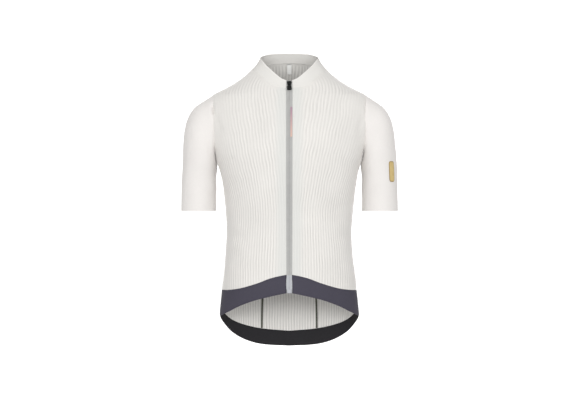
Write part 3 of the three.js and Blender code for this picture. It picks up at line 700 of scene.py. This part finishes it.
def knit(name, light, shade, rib_trough_shade=0.0, sheen=0.12, roughness=0.85, mottle=0.5, crinkle=0.0,
         strip=None):
    """Stretch knit: its loops, uneven dye, painted shade in the troughs of its ribs, the way it
    puckers, and the colour of the faced strip along the panel's first edge."""
    nodes = Nodes(name, roughness, sheen, 0.4)
    nodes.shader.inputs["Sheen Tint"].default_value = (1.0, 0.98, 0.96, 1.0)
    flat = nodes.uv()
    broad = nodes.noise(nodes.place, 0.07, 2)
    fine = nodes.noise(nodes.place, 0.006, 3, 0.6)
    uneven = nodes.math("ADD", nodes.math("MULTIPLY", broad, 0.65), nodes.math("MULTIPLY", fine, 0.35))
    uneven = nodes.math("MULTIPLY", nodes.math("SUBTRACT", uneven, 0.5), mottle)
    tone = nodes.math("ADD", uneven, 0.5)
    # Painted shade: the cloth is darker in the troughs of its ribs, where the relief sinks.
    if rib_trough_shade:
        rib = nodes.math("SINE", nodes.attribute("rib"))
        rib = nodes.math("MULTIPLY", rib, nodes.attribute("ribbed"))
        tone = nodes.math("SUBTRACT", tone, nodes.math("MULTIPLY", rib, rib_trough_shade))
    loops = nodes.math("MULTIPLY", nodes.wave(flat, WALE, "X"), nodes.wave(flat, COURSE, "Y"))
    yarn = nodes.math("MULTIPLY", nodes.math("SUBTRACT", 0.5, loops), 0.12)
    tone = nodes.math("ADD", tone, yarn, clamp=True)
    normal = nodes.bump(loops, 0.00006, 0.35)
    if crinkle:
        normal = nodes.bump(nodes.noise(nodes.place, 0.014, 2), crinkle, 0.6, normal)
    rough = nodes.math("ADD", nodes.math("MULTIPLY", fine, 0.12), roughness - 0.06)
    colour = nodes.blend(tone, linear(light), linear(shade))
    if strip:
        near = nodes.math("SUBTRACT", STRIP_WIDTH, nodes.uv_part("X"))
        near = nodes.math("MULTIPLY", near, 60, clamp=True)
        colour = nodes.blend(nodes.math("MULTIPLY", near, 0.7), colour, linear(strip))
    return nodes.finish(colour, normal, rough)


def woven_tape(name, light, shade, end=None, end_height=0.0):
    """The zip's tape: twill across it, and a paler film over its foot where end is given."""
    nodes = Nodes(name, 0.7, 0.08)
    turned = {"Vector": nodes.uv(), "Angle": math.radians(28)}
    slanted = nodes.add("ShaderNodeVectorRotate", turned, rotation_type="Z_AXIS")
    twill = nodes.wave(slanted.outputs[0], 0.0011, "Y")
    uneven = nodes.math("MULTIPLY", nodes.noise(nodes.place, 0.012, 3), 0.5)
    tone = nodes.math("ADD", nodes.math("MULTIPLY", twill, 0.3), uneven, clamp=True)
    colour = nodes.blend(tone, linear(light), linear(shade))
    if end:
        low = nodes.math("SUBTRACT", end_height, nodes.uv_part("Y"))
        low = nodes.math("MULTIPLY", low, 500, clamp=True)
        colour = nodes.blend(low, colour, linear(end))
    return nodes.finish(colour, nodes.bump(twill, 0.00008, 0.5))


def thread(name, colour, dark):
    nodes = Nodes(name, 0.6, 0.1)
    twist = nodes.noise(nodes.place, 0.0006, 2)
    return nodes.finish(nodes.blend(twist, linear(colour), linear(dark)), nodes.bump(twist, 0.0001, 0.4))


def enamel(name, colour, dark, metallic, roughness):
    """Painted metal or moulded plastic: fine orange peel and an uneven polish."""
    nodes = Nodes(name, roughness, metallic=metallic, specular=0.5)
    grain = nodes.noise(nodes.place, 0.0009, 3)
    broad = nodes.noise(nodes.place, 0.005, 2)
    rough = nodes.math("ADD", nodes.math("MULTIPLY", broad, 0.25), roughness - 0.1)
    tone = nodes.blend(broad, linear(colour), linear(dark))
    return nodes.finish(tone, nodes.bump(grain, 0.00005, 0.3), rough)


front_cloth = knit("front knit", "#e8e5e1", "#c2c0bc", rib_trough_shade=0.28, crinkle=0.0006, sheen=1.0,
                   strip="#cdcecb")
# Painted light: the back is the same knit as the front, given a paler colour so that its inside, which
# the lamps reach little, shows brighter.
back_cloth = knit("back knit", "#eceae6", "#c2c0bc", rib_trough_shade=0.3, crinkle=0.0005)
sleeve_cloth = knit("sleeve knit", "#eeeae7", "#cbc8c5", mottle=0.35, sheen=0.6)
collar_cloth = knit("collar knit", "#e9e7e3", "#c6c4c0", mottle=0.35)
pocket_cloth = knit("pocket knit", "#e8e5e1", "#c2c0bc", rib_trough_shade=0.28, crinkle=0.0005)
front_band = knit("front band", "#474450", "#3a3843", mottle=0.6, sheen=0.05, roughness=0.8)
back_band = knit("back band", "#272629", "#1d1c1f", mottle=0.6, sheen=0.03, roughness=0.85)
binding_cloth = knit("binding", "#f6f4f0", "#d8d6d1", mottle=0.3)
tape_cloth = woven_tape("zip tape", "#b1b1af", "#919190", end="#adafb3", end_height=0.044)
seam_tape = woven_tape("seam tape", "#58584f", "#45453f")
label_cloth = woven_tape("label", "#fafaf8", "#e2e2df")
cream_thread = thread("cream thread", "#f3f0ea", "#cfccc5")
dark_thread = thread("dark thread", "#1c1b1e", "#0e0e10")
plum_thread = thread("plum thread", "#3a3843", "#2b2933")
coil = enamel("zip coil", "#9b9d9b", "#808280", 0.0, 0.45)
black_enamel = enamel("black enamel", "#1f2220", "#0c0e0d", 0.5, 0.38)
end_plastic = enamel("zip end", "#b1b3b7", "#9d9fa4", 0.0, 0.5)


ACCENT_LENGTH = 0.074


def accent_film():
    """The coral strip fades from pink at its top to pale orange at its foot."""
    nodes = Nodes("accent film", 0.5, 0.05)
    fade = nodes.math("MULTIPLY", nodes.uv_part("Y"), 1 / ACCENT_LENGTH, clamp=True)
    grain = nodes.noise(nodes.place, 0.0012, 3)
    colour = nodes.blend(fade, linear("#c8a696"), linear("#99768a"))
    colour = nodes.blend(nodes.math("MULTIPLY", grain, 0.12), colour, linear("#ffffff"))
    return nodes.finish(colour, nodes.bump(grain, 0.00006, 0.4))


def tab_film():
    """Ochre heat-pressed film with a darker rim."""
    nodes = Nodes("tab film", 0.45, specular=0.4)
    grain = nodes.noise(nodes.place, 0.001, 3)
    broad = nodes.noise(nodes.place, 0.009, 2)
    rim = nodes.attribute("ribbed")
    colour = nodes.blend(broad, linear("#d2bd84"), linear("#bca268"))
    colour = nodes.blend(rim, colour, linear("#937b4c"))
    return nodes.finish(colour, nodes.bump(grain, 0.00008, 0.4))


# The cloth pieces

def state_cut(panel):
    """Takes a piece's points, and repeats their first column at the end where the piece wraps round.
    hidden is a width that is sewn under another piece, where it isn't modelled.
    """
    points = panel.points
    if panel.wraps:
        points = np.append(points, points[:, :1], axis=1)


front_rows = panel_rows(front_band_top, front_rise, FRONT_NECK, 16, 42, 40, 16)
back_rows = panel_rows(back_band_top, back_rise, BACK_NECK, 44, 40, 36, 18)
FRONT_COLUMNS = 186
BACK_COLUMNS = 150
SLEEVE_AROUND = 104

# Creases: from one point to another in X and Z, how wide, and how far they rise or sink
FRONT_CREASES = [
    (181, -108, 160, -160, 7, -1.6),
    (172, -112, 150, -172, 10, 1.3),
    (176, -226, 128, -196, 10, 1.5),
    (172, -236, 120, -214, 9, -1.4),
    (168, -262, 112, -248, 12, 1.0),
    (150, -372, 96, -396, 13, 1.0),
    (151, -398, 92, -418, 12, -1.1),
    (152, -424, 88, -436, 13, 0.9),
    (148, -470, 70, -500, 15, -0.8),
    (90, -70, 62, -120, 12, -0.8),
    (120, -82, 92, -128, 12, 0.8),
]
BACK_CREASES = [
    (180, -112, 152, -168, 9, -1.6),
    (170, -118, 138, -182, 11, 1.4),
    (174, -228, 118, -204, 11, 1.6),
    (170, -242, 104, -226, 10, -1.5),
    (150, -368, 72, -392, 14, 1.5),
    (151, -392, 60, -412, 12, -1.7),
    (151, -416, 66, -432, 13, 1.5),
    (150, -440, 74, -452, 12, -1.3),
    (40, -380, -38, -396, 15, -1.2),
    (44, -408, -40, -420, 14, 1.2),
    (60, -30, 96, -66, 12, -1.0),
]


def make_front(name, node, side, seed):
    panel = Panel(front_grid(with_edges(front_rows), fringed(FRONT_COLUMNS), side))
    beside_zip = panel.from_start()
    to_seam = panel.width - beside_zip
    calm = (0.7 + 0.3 * smooth(14, 30, beside_zip)) * smooth(2, 6, beside_zip)
    calm = calm * (0.15 + 0.85 * smooth(22, 80, to_seam)) * (1 - 0.3 * smooth(-300, -150, panel.z))
    calm = calm * smooth(2, 12, panel.height - panel.up) * (0.5 + 0.5 * smooth(2, 16, panel.up))
    spread = along(RIB_SPREAD, 1, panel.z) * (1 + 0.2 * side)
    panel.add_ribs(FRONT_PITCH, seed, calm, spread)
    panel.add_creases(FRONT_CREASES)
    panel.relief += 0.5 * ripple(panel.x, panel.z, 60, 48, seed + 5) * smooth(0, 20, beside_zip)
    panel.relief += 0.45 * smooth(0.6, 1.8, beside_zip) * (1 - smooth(5.5, 7.5, beside_zip))
    panel.fill_armhole(to_seam)
    panel.dip(0.9, 0.8, "start")
    panel.dip(0.25, 1.2, "high")
    panel.dip(0.2, 1.2, "low")
    return make_cloth(name, node, panel, front_cloth)


front_left = make_front("front_left_cloth", "front_left", 1, 11)
front_right = make_front("front_right_cloth", "front_right", -1, 29)


def make_back():
    shares = mirrored(np.append(np.linspace(0, 1, BACK_COLUMNS + 1)[1:-1], [0.992, 0.997, 1]))
    panel = Panel(back_grid(with_edges(back_rows), shares), centred=True)
    to_seam = np.minimum(panel.from_start(), panel.width - panel.from_start())
    calm = (0.4 + 0.6 * smooth(10, 50, to_seam)) * smooth(2, 12, panel.height - panel.up)
    panel.add_ribs(BACK_PITCH, 47, calm)
    panel.add_creases(BACK_CREASES)
    panel.relief += 0.6 * ripple(panel.x, panel.z, 64, 52, 53)
    # The back lies plain where the tapes hold it
    beside_tape = np.abs(np.abs(shares) - POCKET_PARTING)[None, :] * panel.width / 2
    taped = bell(beside_tape, 6) * (1 - smooth(-500, -480, panel.z))
    panel.relief *= 1 - 0.9 * taped
    panel.dip(0.5, 1.2, "start", "end", "low", "high")
    return make_cloth("back_cloth", "back", panel, back_cloth)


back = make_back()


def make_front_band(name, node, side, seed):
    panel = Panel(front_grid(band_rows(front_edge, front_band_top), fringed(90), side))
    panel.relief += 0.25 * ripple(panel.x, panel.z, 30, 30, seed)
    panel.dip(0.6, 1.2, "start", "end")
    panel.dip(0.3, 1.2, "high")
    panel.dip(0.35, 0.7, "low")
    return make_cloth(name, node, panel, front_band)


band_left = make_front_band("front_band_left", "front_hem_left", 1, 61)
band_right = make_front_band("front_band_right", "front_hem_right", -1, 67)


def make_back_band():
    shares = mirrored(np.append(np.linspace(0, 1, 91)[1:-1], [0.994, 0.997, 1]))
    panel = Panel(back_grid(band_rows(back_edge, back_band_top), shares), centred=True)
    panel.relief += 0.25 * ripple(panel.x, panel.z, 34, 30, 71)
    panel.dip(0.6, 1.2, "start", "end", "high")
    panel.dip(0.35, 0.7, "low")
    return make_cloth("back_band_cloth", "back_hem", panel, back_band)


band_back = make_back_band()


def make_sleeve(name, node, side, seed):
    steps = np.concatenate([
        [0, 0.02, 0.05, 0.1], np.linspace(0, SLEEVE_LAST, 64)[1:-1],
        [SLEEVE_LAST - 0.05, SLEEVE_LAST - 0.02, SLEEVE_LAST],
    ])
    panel = Panel(sleeve_grid(side, SLEEVE_AROUND, steps), wraps=True)
    low = smooth(-140, -230, panel.z)
    panel.relief += 0.5 * ripple(panel.y, panel.z, 40, 70, seed)
    under = bell(np.abs(panel.x) - 180, 26) * bell(panel.z + 262, 46)
    panel.relief += 0.9 * under * np.sin(panel.z / 9.5 + panel.y / 30 + seed)
    panel.relief += 0.35 * low * ripple(panel.y, panel.z, 22, 60, seed + 3)
    panel.fill_armhole(panel.up)
    panel.dip(0.3, 0.6, "high")
    return make_cloth(name, node, panel, sleeve_cloth)


sleeve_left = make_sleeve("sleeve_left_cloth", "sleeve_left", 1, 83)
sleeve_right = make_sleeve("sleeve_right_cloth", "sleeve_right", -1, 89)


def make_collar():
    rises = np.array([0, 0.02, 0.06, *np.linspace(0.12, 0.9, 12), 0.94, 0.97, 1])
    panel = Panel(collar_grid(fringed(64), rises))
    panel.relief += 0.3 * ripple(panel.x, panel.y, 30, 30, 97)
    panel.dip(0.3, 1.2, "low")
    panel.dip(0.6, 0.8, "start", "end")
    panel.dip(0.3, 0.6, "high")
    return make_cloth("collar_cloth", "collar", panel, collar_cloth)


collar = make_collar()


# The zip

FORWARD = np.array([0.0, -1.0, 0.0])
ZIP_GAP = 0.12
TAPE_SUNK = 0.7
TRIM_THICK = 0.9
# The coil: its place beside and behind the zip's middle, its half sizes, its thread and its turns
COIL_SIDE = 1.5
COIL_BEHIND = 2.6
COIL_HALF_WIDTH = 1.25
COIL_HALF_DEPTH = 0.75
COIL_THREAD = 0.28
COIL_PITCH = 1.5
COIL_STEP = 0.45


def zip_strip(line, x):
    """A strip along a line of the zip, with its columns at the given places in X."""
    points = np.tile(line[:, None], (1, len(x), 1))
    points[..., 0] = x
    return Panel((points, grid_normals(points, FORWARD)))


def make_tape(name, node, side, band, front):
    column = 0 if side < 0 else -1
    edge = np.concatenate([band.points[:, 0], front.points[1:, 0], collar.points[1:, column]])
    ways = np.array([0, 0.12, 0.24, 0.36, 0.5, 0.62, 0.7, 0.78, 0.86, 0.94, 1.0])
    panel = zip_strip(resample(edge, 3.0), mix(ZIP_HALF - 0.15, ZIP_GAP, ways) * side)
    panel.relief -= TAPE_SUNK
    bead = np.clip((np.abs(panel.x) - 0.2) / 2.6, 0, 1)
    panel.relief += 0.55 * np.sqrt(np.maximum(1 - (2 * bead - 1) ** 2, 0))
    return make_cloth(name, node, panel, tape_cloth, TRIM_THICK)


tape_left = make_tape("zip_tape_left_cloth", "zip_tape_left", 1, band_left, front_left)
tape_right = make_tape("zip_tape_right_cloth", "zip_tape_right", -1, band_right, front_right)


def make_coil(name, side, tape):
    """The zip's coil, on the inside of its tape."""
    path = resample(tape.points[:, -1], COIL_STEP)
    turns = np.arange(len(path)) * COIL_STEP / COIL_PITCH * 2 * math.pi
    path[:, 0] = side * (COIL_SIDE + COIL_HALF_WIDTH * np.cos(turns))
    path[:, 1] += COIL_BEHIND + COIL_HALF_DEPTH * np.sin(turns)
    normals = np.tile(FORWARD, (len(path), 1))
    make_tube(name, path, normals, COIL_THREAD, coil, sides=4)


make_coil("zip_coil_left", 1, tape_left)
make_coil("zip_coil_right", -1, tape_right)


def make_accent():
    low, high, inner, outer = -169, -95, 2.7, 7.0
    line = resample(tape_left.points[:, 0], 2.0)
    line = line[(line[:, 2] > low) & (line[:, 2] < high)]
    panel = zip_strip(line, mix(outer, inner, np.linspace(0, 1, 9)))
    panel.relief += 0.35
    panel.dip(0.3, 0.5, "start", "end")
    make_cloth("accent_strip", "zip_accent", panel, accent_film(), TRIM_THICK)


make_accent()


def make_collar_edge():
    """The collar's bound edge."""
    line = resample(collar.outer()[-1], 2.0)
    outward = unit(line * (1, 1, 0))
    middle = line - outward * CLOTH / 2
    make_tube("collar_binding", middle, outward, 1.25, binding_cloth, squash=0.8)


make_collar_edge()


# The pockets, which stand a little off the back towards their mouths

def make_pocket(name, node, start, end, seed):
    count = int(90 * (end - start)) + 12
    shares = np.linspace(start + 0.004, end - 0.004, count)
    rows = between(back_band_top, pocket_top, np.linspace(0.004, 1, 42))
    panel = Panel(back_grid(rows, shares))
    up = panel.up / panel.height
    across = panel.from_start() / panel.width
    slack = np.sin(math.pi * np.clip(across, 0, 1)) ** 0.7
    strength = 0.8 * smooth(0.02, 0.08, up) * (1 - 0.7 * smooth(0.9, 0.93, up))
    panel.add_ribs(BACK_PITCH, seed, strength)
    panel.relief += CLOTH * 0.35 + 0.5 + 3.2 * slack * up**2
    panel.relief += 0.6 * slack * up * ripple(panel.x, panel.z, 26, 40, seed + 2)
    panel.relief += 0.5 * smooth(0.915, 0.925, up)
    panel.dip(0.9, 2.0, "start", "end")
    panel.dip(0.5, 1.2, "low")
    panel.dip(0.4, 0.7, "high")
    return make_cloth(name, node, panel, pocket_cloth, TRIM_THICK)


pockets = [
    make_pocket("pocket_right_cloth", "pocket_right", -POCKET_END, -POCKET_PARTING, 101),
    make_pocket("pocket_centre_cloth", "pocket_centre", -POCKET_PARTING, POCKET_PARTING, 107),
    make_pocket("pocket_left_cloth", "pocket_left", POCKET_PARTING, POCKET_END, 113),
]


SEAM_TAPE_HALF = 2.3


def make_seam_tape(name, node, side):
    """The dark tape inside the back, where two pockets part."""
    lines = []
    for row in between(back_band_top, pocket_top, np.linspace(0.004, 1, 50)):
        x, _, z = row_points(row, np.array([POCKET_PARTING]), 1, 1)[0]
        lines.append(back_line(z, side * x + np.linspace(-SEAM_TAPE_HALF, SEAM_TAPE_HALF, 9)))
    panel = Panel(on_body(lines))
    panel.relief -= CLOTH + 0.55 + 0.1 * ripple(panel.x, panel.z, 8, 20, 119)
    make_cloth(name, node, panel, seam_tape, thick=0.6)


make_seam_tape("pocket_seam_right_tape", "pocket_seam_right", -1)
make_seam_tape("pocket_seam_left_tape", "pocket_seam_left", 1)

LABEL_FOOT = -3.5
LABEL_TOP = 20.5
LABEL_HALF_WIDTH = 5.6
LABEL_THICK = 0.5


def make_label():
    """The blank label, sewn in at its top."""
    x = np.linspace(-LABEL_HALF_WIDTH, LABEL_HALF_WIDTH, 15)
    panel = Panel(on_body([back_line(z, x) for z in np.linspace(LABEL_FOOT, LABEL_TOP, 26)]))
    loose = 1 - panel.up / panel.height
    panel.relief -= CLOTH + 0.9 + 1.6 * loose + 0.4 * np.sin(panel.x / 3.1) * loose
    return make_cloth("neck_label_cloth", "neck_label", panel, label_cloth, LABEL_THICK)


label = make_label()

# The tab: its place and half width as angles round the sleeve, and its heights
TAB_ANGLE = math.radians(49.5)
TAB_REACH = math.radians(11.2)
TAB_TOP = -224.5
TAB_FOOT = -274.5
SLEEVE_CENTRE = np.array([222.0, 0, 0])


def make_tab():
    """A plain tab with rounded ends and a raised rim, pressed on the left sleeve."""
    p, q = np.meshgrid(np.linspace(-1, 1, 25), np.linspace(-1, 1, 49))
    narrow = 0.45 + 0.55 * np.sqrt(np.clip(1 - np.abs(q) ** 7, 0, 1))
    angle = TAB_ANGLE - TAB_REACH * p * narrow
    goal = mix(TAB_TOP, TAB_FOOT, (q + 1) / 2)
    steps = np.linspace(3, SLEEVE_LAST, 400)
    step = np.empty_like(goal)
    for place in np.ndindex(goal.shape):
        heights = sleeve_points(np.full(len(steps), angle[place]), steps, 1)[:, 2]
        step[place] = np.interp(-goal[place], -heights, steps)
    points = sleeve_points(angle, step, 1)
    outward = (points - SLEEVE_CENTRE) * (1, 1, 0)
    panel = Panel((points, grid_normals(points, outward)))
    rim = np.maximum(smooth(0.72, 0.86, np.abs(p)), smooth(0.88, 0.94, np.abs(q)))
    bars = (1 - rim) * 0.12 * np.sin(q * math.pi * 9)
    panel.relief += 0.75 + 0.25 * rim + bars
    panel.dip(0.4, 0.7, "start", "end", "low", "high")
    panel.ribbed = rim * 0.9
    make_cloth("sleeve_tab_film", "sleeve_tab", panel, tab_film(), thick=0.5)


make_tab()


# Stitching

cream_lines = lines_beside([front_left, front_right], ("start", 3.4), ("end", 3.0), ("high", 2.6))
cream_lines += lines_beside([back], ("start", 3.0), ("end", 3.0), ("high", 2.6))
cream_lines += lines_beside([collar], ("low", 2.4))
make_stitches("stitching_cream", cream_lines, cream_thread)
pocket_lines = lines_beside(pockets, ("start", 1.6), ("end", 1.6), ("low", 1.6), ("high", 11.5))
make_stitches("stitching_pockets", pocket_lines, cream_thread)
bands = [band_left, band_right]
band_lines = lines_beside(bands, ("high", 2.4), ("high", 5.2), ("low", 3.0), ("end", 2.4))
make_stitches("stitching_front_bands", band_lines, plum_thread)
end_lines = lines_beside(bands, ("start", 0.9), ("start", 1.9))
make_stitches("stitching_band_ends", end_lines, dark_thread, radius=0.34)
back_lines = lines_beside([band_back], ("high", 2.4), ("high", 5.2), ("low", 3.0))
make_stitches("stitching_back_band", back_lines, dark_thread)


def label_stitches(gap):
    """A line of the stitches that hold the label, on the side of it that faces the neck."""
    points, normals = line_beside(label, "high", gap)
    return points - normals * LABEL_THICK, -normals


make_stitches("stitching_label", [label_stitches(0.6), label_stitches(1.6)], dark_thread,
              pitch=1.9, radius=0.45)

# Each piece of cloth goes to state_cut in turn

state_cut(front_left)
state_cut(front_right)
state_cut(back)
state_cut(sleeve_left)
state_cut(sleeve_right)
state_cut(collar)
for panel in (band_left, band_right, band_back):
    state_cut(panel)
state_cut(tape_left)
state_cut(tape_right)
for panel in pockets:
    state_cut(panel)
state_cut(label)

for node_name, finish in (
    ("zip_slider", black_enamel), ("zip_pull", black_enamel), ("zip_box", end_plastic),
):
    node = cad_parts[node_name]
    node.data.materials.clear()
    node.data.materials.append(finish)


# Floor, light and camera

AMBIENT = 0.66
FLOOR_HEIGHT = -1.12
ROOM = 14.0


def make_stage(name, vertices, faces, glow):
    """A pale surface of the studio, which shows but throws no light on the jersey."""
    mesh = bpy.data.meshes.new(name)
    mesh.from_pydata(vertices, [], faces)
    stage = add_object(name, mesh)
    for ray in ("diffuse", "glossy", "transmission", "shadow"):
        setattr(stage, f"visible_{ray}", False)
    nodes = Nodes(name, 0.9)
    uneven = nodes.noise(nodes.place, 0.6, 2)
    nodes.shader.inputs["Emission Color"].default_value = (1, 1, 1, 1)
    nodes.shader.inputs["Emission Strength"].default_value = glow
    mesh.materials.append(nodes.finish(nodes.blend(uneven, linear("#fbfbfa"), linear("#f6f6f5"))))


def make_room():
    """A dome round the studio, as a ring of rows that close at the top."""
    rows, around = 12, 32
    vertices = []
    for j in range(rows + 1):
        rise = j / rows * math.pi / 2
        flat = ROOM * max(math.cos(rise), 0.001)
        height = FLOOR_HEIGHT + ROOM * math.sin(rise)
        for i in range(around):
            turn = i / around * 2 * math.pi
            vertices.append((flat * math.cos(turn), flat * math.sin(turn), height))
    make_stage("room", vertices, ring_faces(rows + 1, around), 1.0)
    make_stage("floor", vertices[:around], [tuple(range(around))], 0.7)


make_room()
world = bpy.data.worlds.new("studio")
scene.world = world
world.use_nodes = True
ambient = world.node_tree.nodes["Background"]
ambient.inputs["Color"].default_value = (1, 1, 1, 1)
ambient.inputs["Strength"].default_value = AMBIENT


LIGHT_TARGET = np.array([0, 0, -0.32])


def make_light(name, place, size, power):
    light = bpy.data.lights.new(name, "AREA")
    light.shape = "DISK"
    light.size = size
    light.energy = power
    lamp = add_object(name, light)
    lamp.location = place
    way = LIGHT_TARGET - place
    lamp.rotation_euler = (math.acos(-way[2] / np.linalg.norm(way)), 0, math.atan2(-way[0], way[1]))


for side in (-1, 1):
    make_light(f"softbox {side}", (side * 1.85, -3.9, 0.4), 1.8, 40)
make_light("front fill", (0.0, -4.0, 0.3), 0.9, 36)
make_light("back softbox", (0.0, 4.2, 0.7), 2.6, 84)

# The photograph's view: its width, millimetres to a pixel at the origin, and the camera's place
PHOTO_WIDTH = 580
PIXEL = 2.45
VIEW_DISTANCE = 3.6
VIEW_SIDE = 0.0017
VIEW_HEIGHT = -0.3185
SENSOR = 36.0
camera_data = bpy.data.cameras.new("camera")
camera_data.sensor_width = SENSOR
camera_data.lens = SENSOR * VIEW_DISTANCE / (PHOTO_WIDTH * PIXEL * MM)
camera = add_object("camera", camera_data)
camera.location = (VIEW_SIDE, -VIEW_DISTANCE, VIEW_HEIGHT)
camera.rotation_euler = (math.pi / 2, 0, 0)
bpy.context.scene.camera = camera
scene.view_settings.view_transform = "Standard"
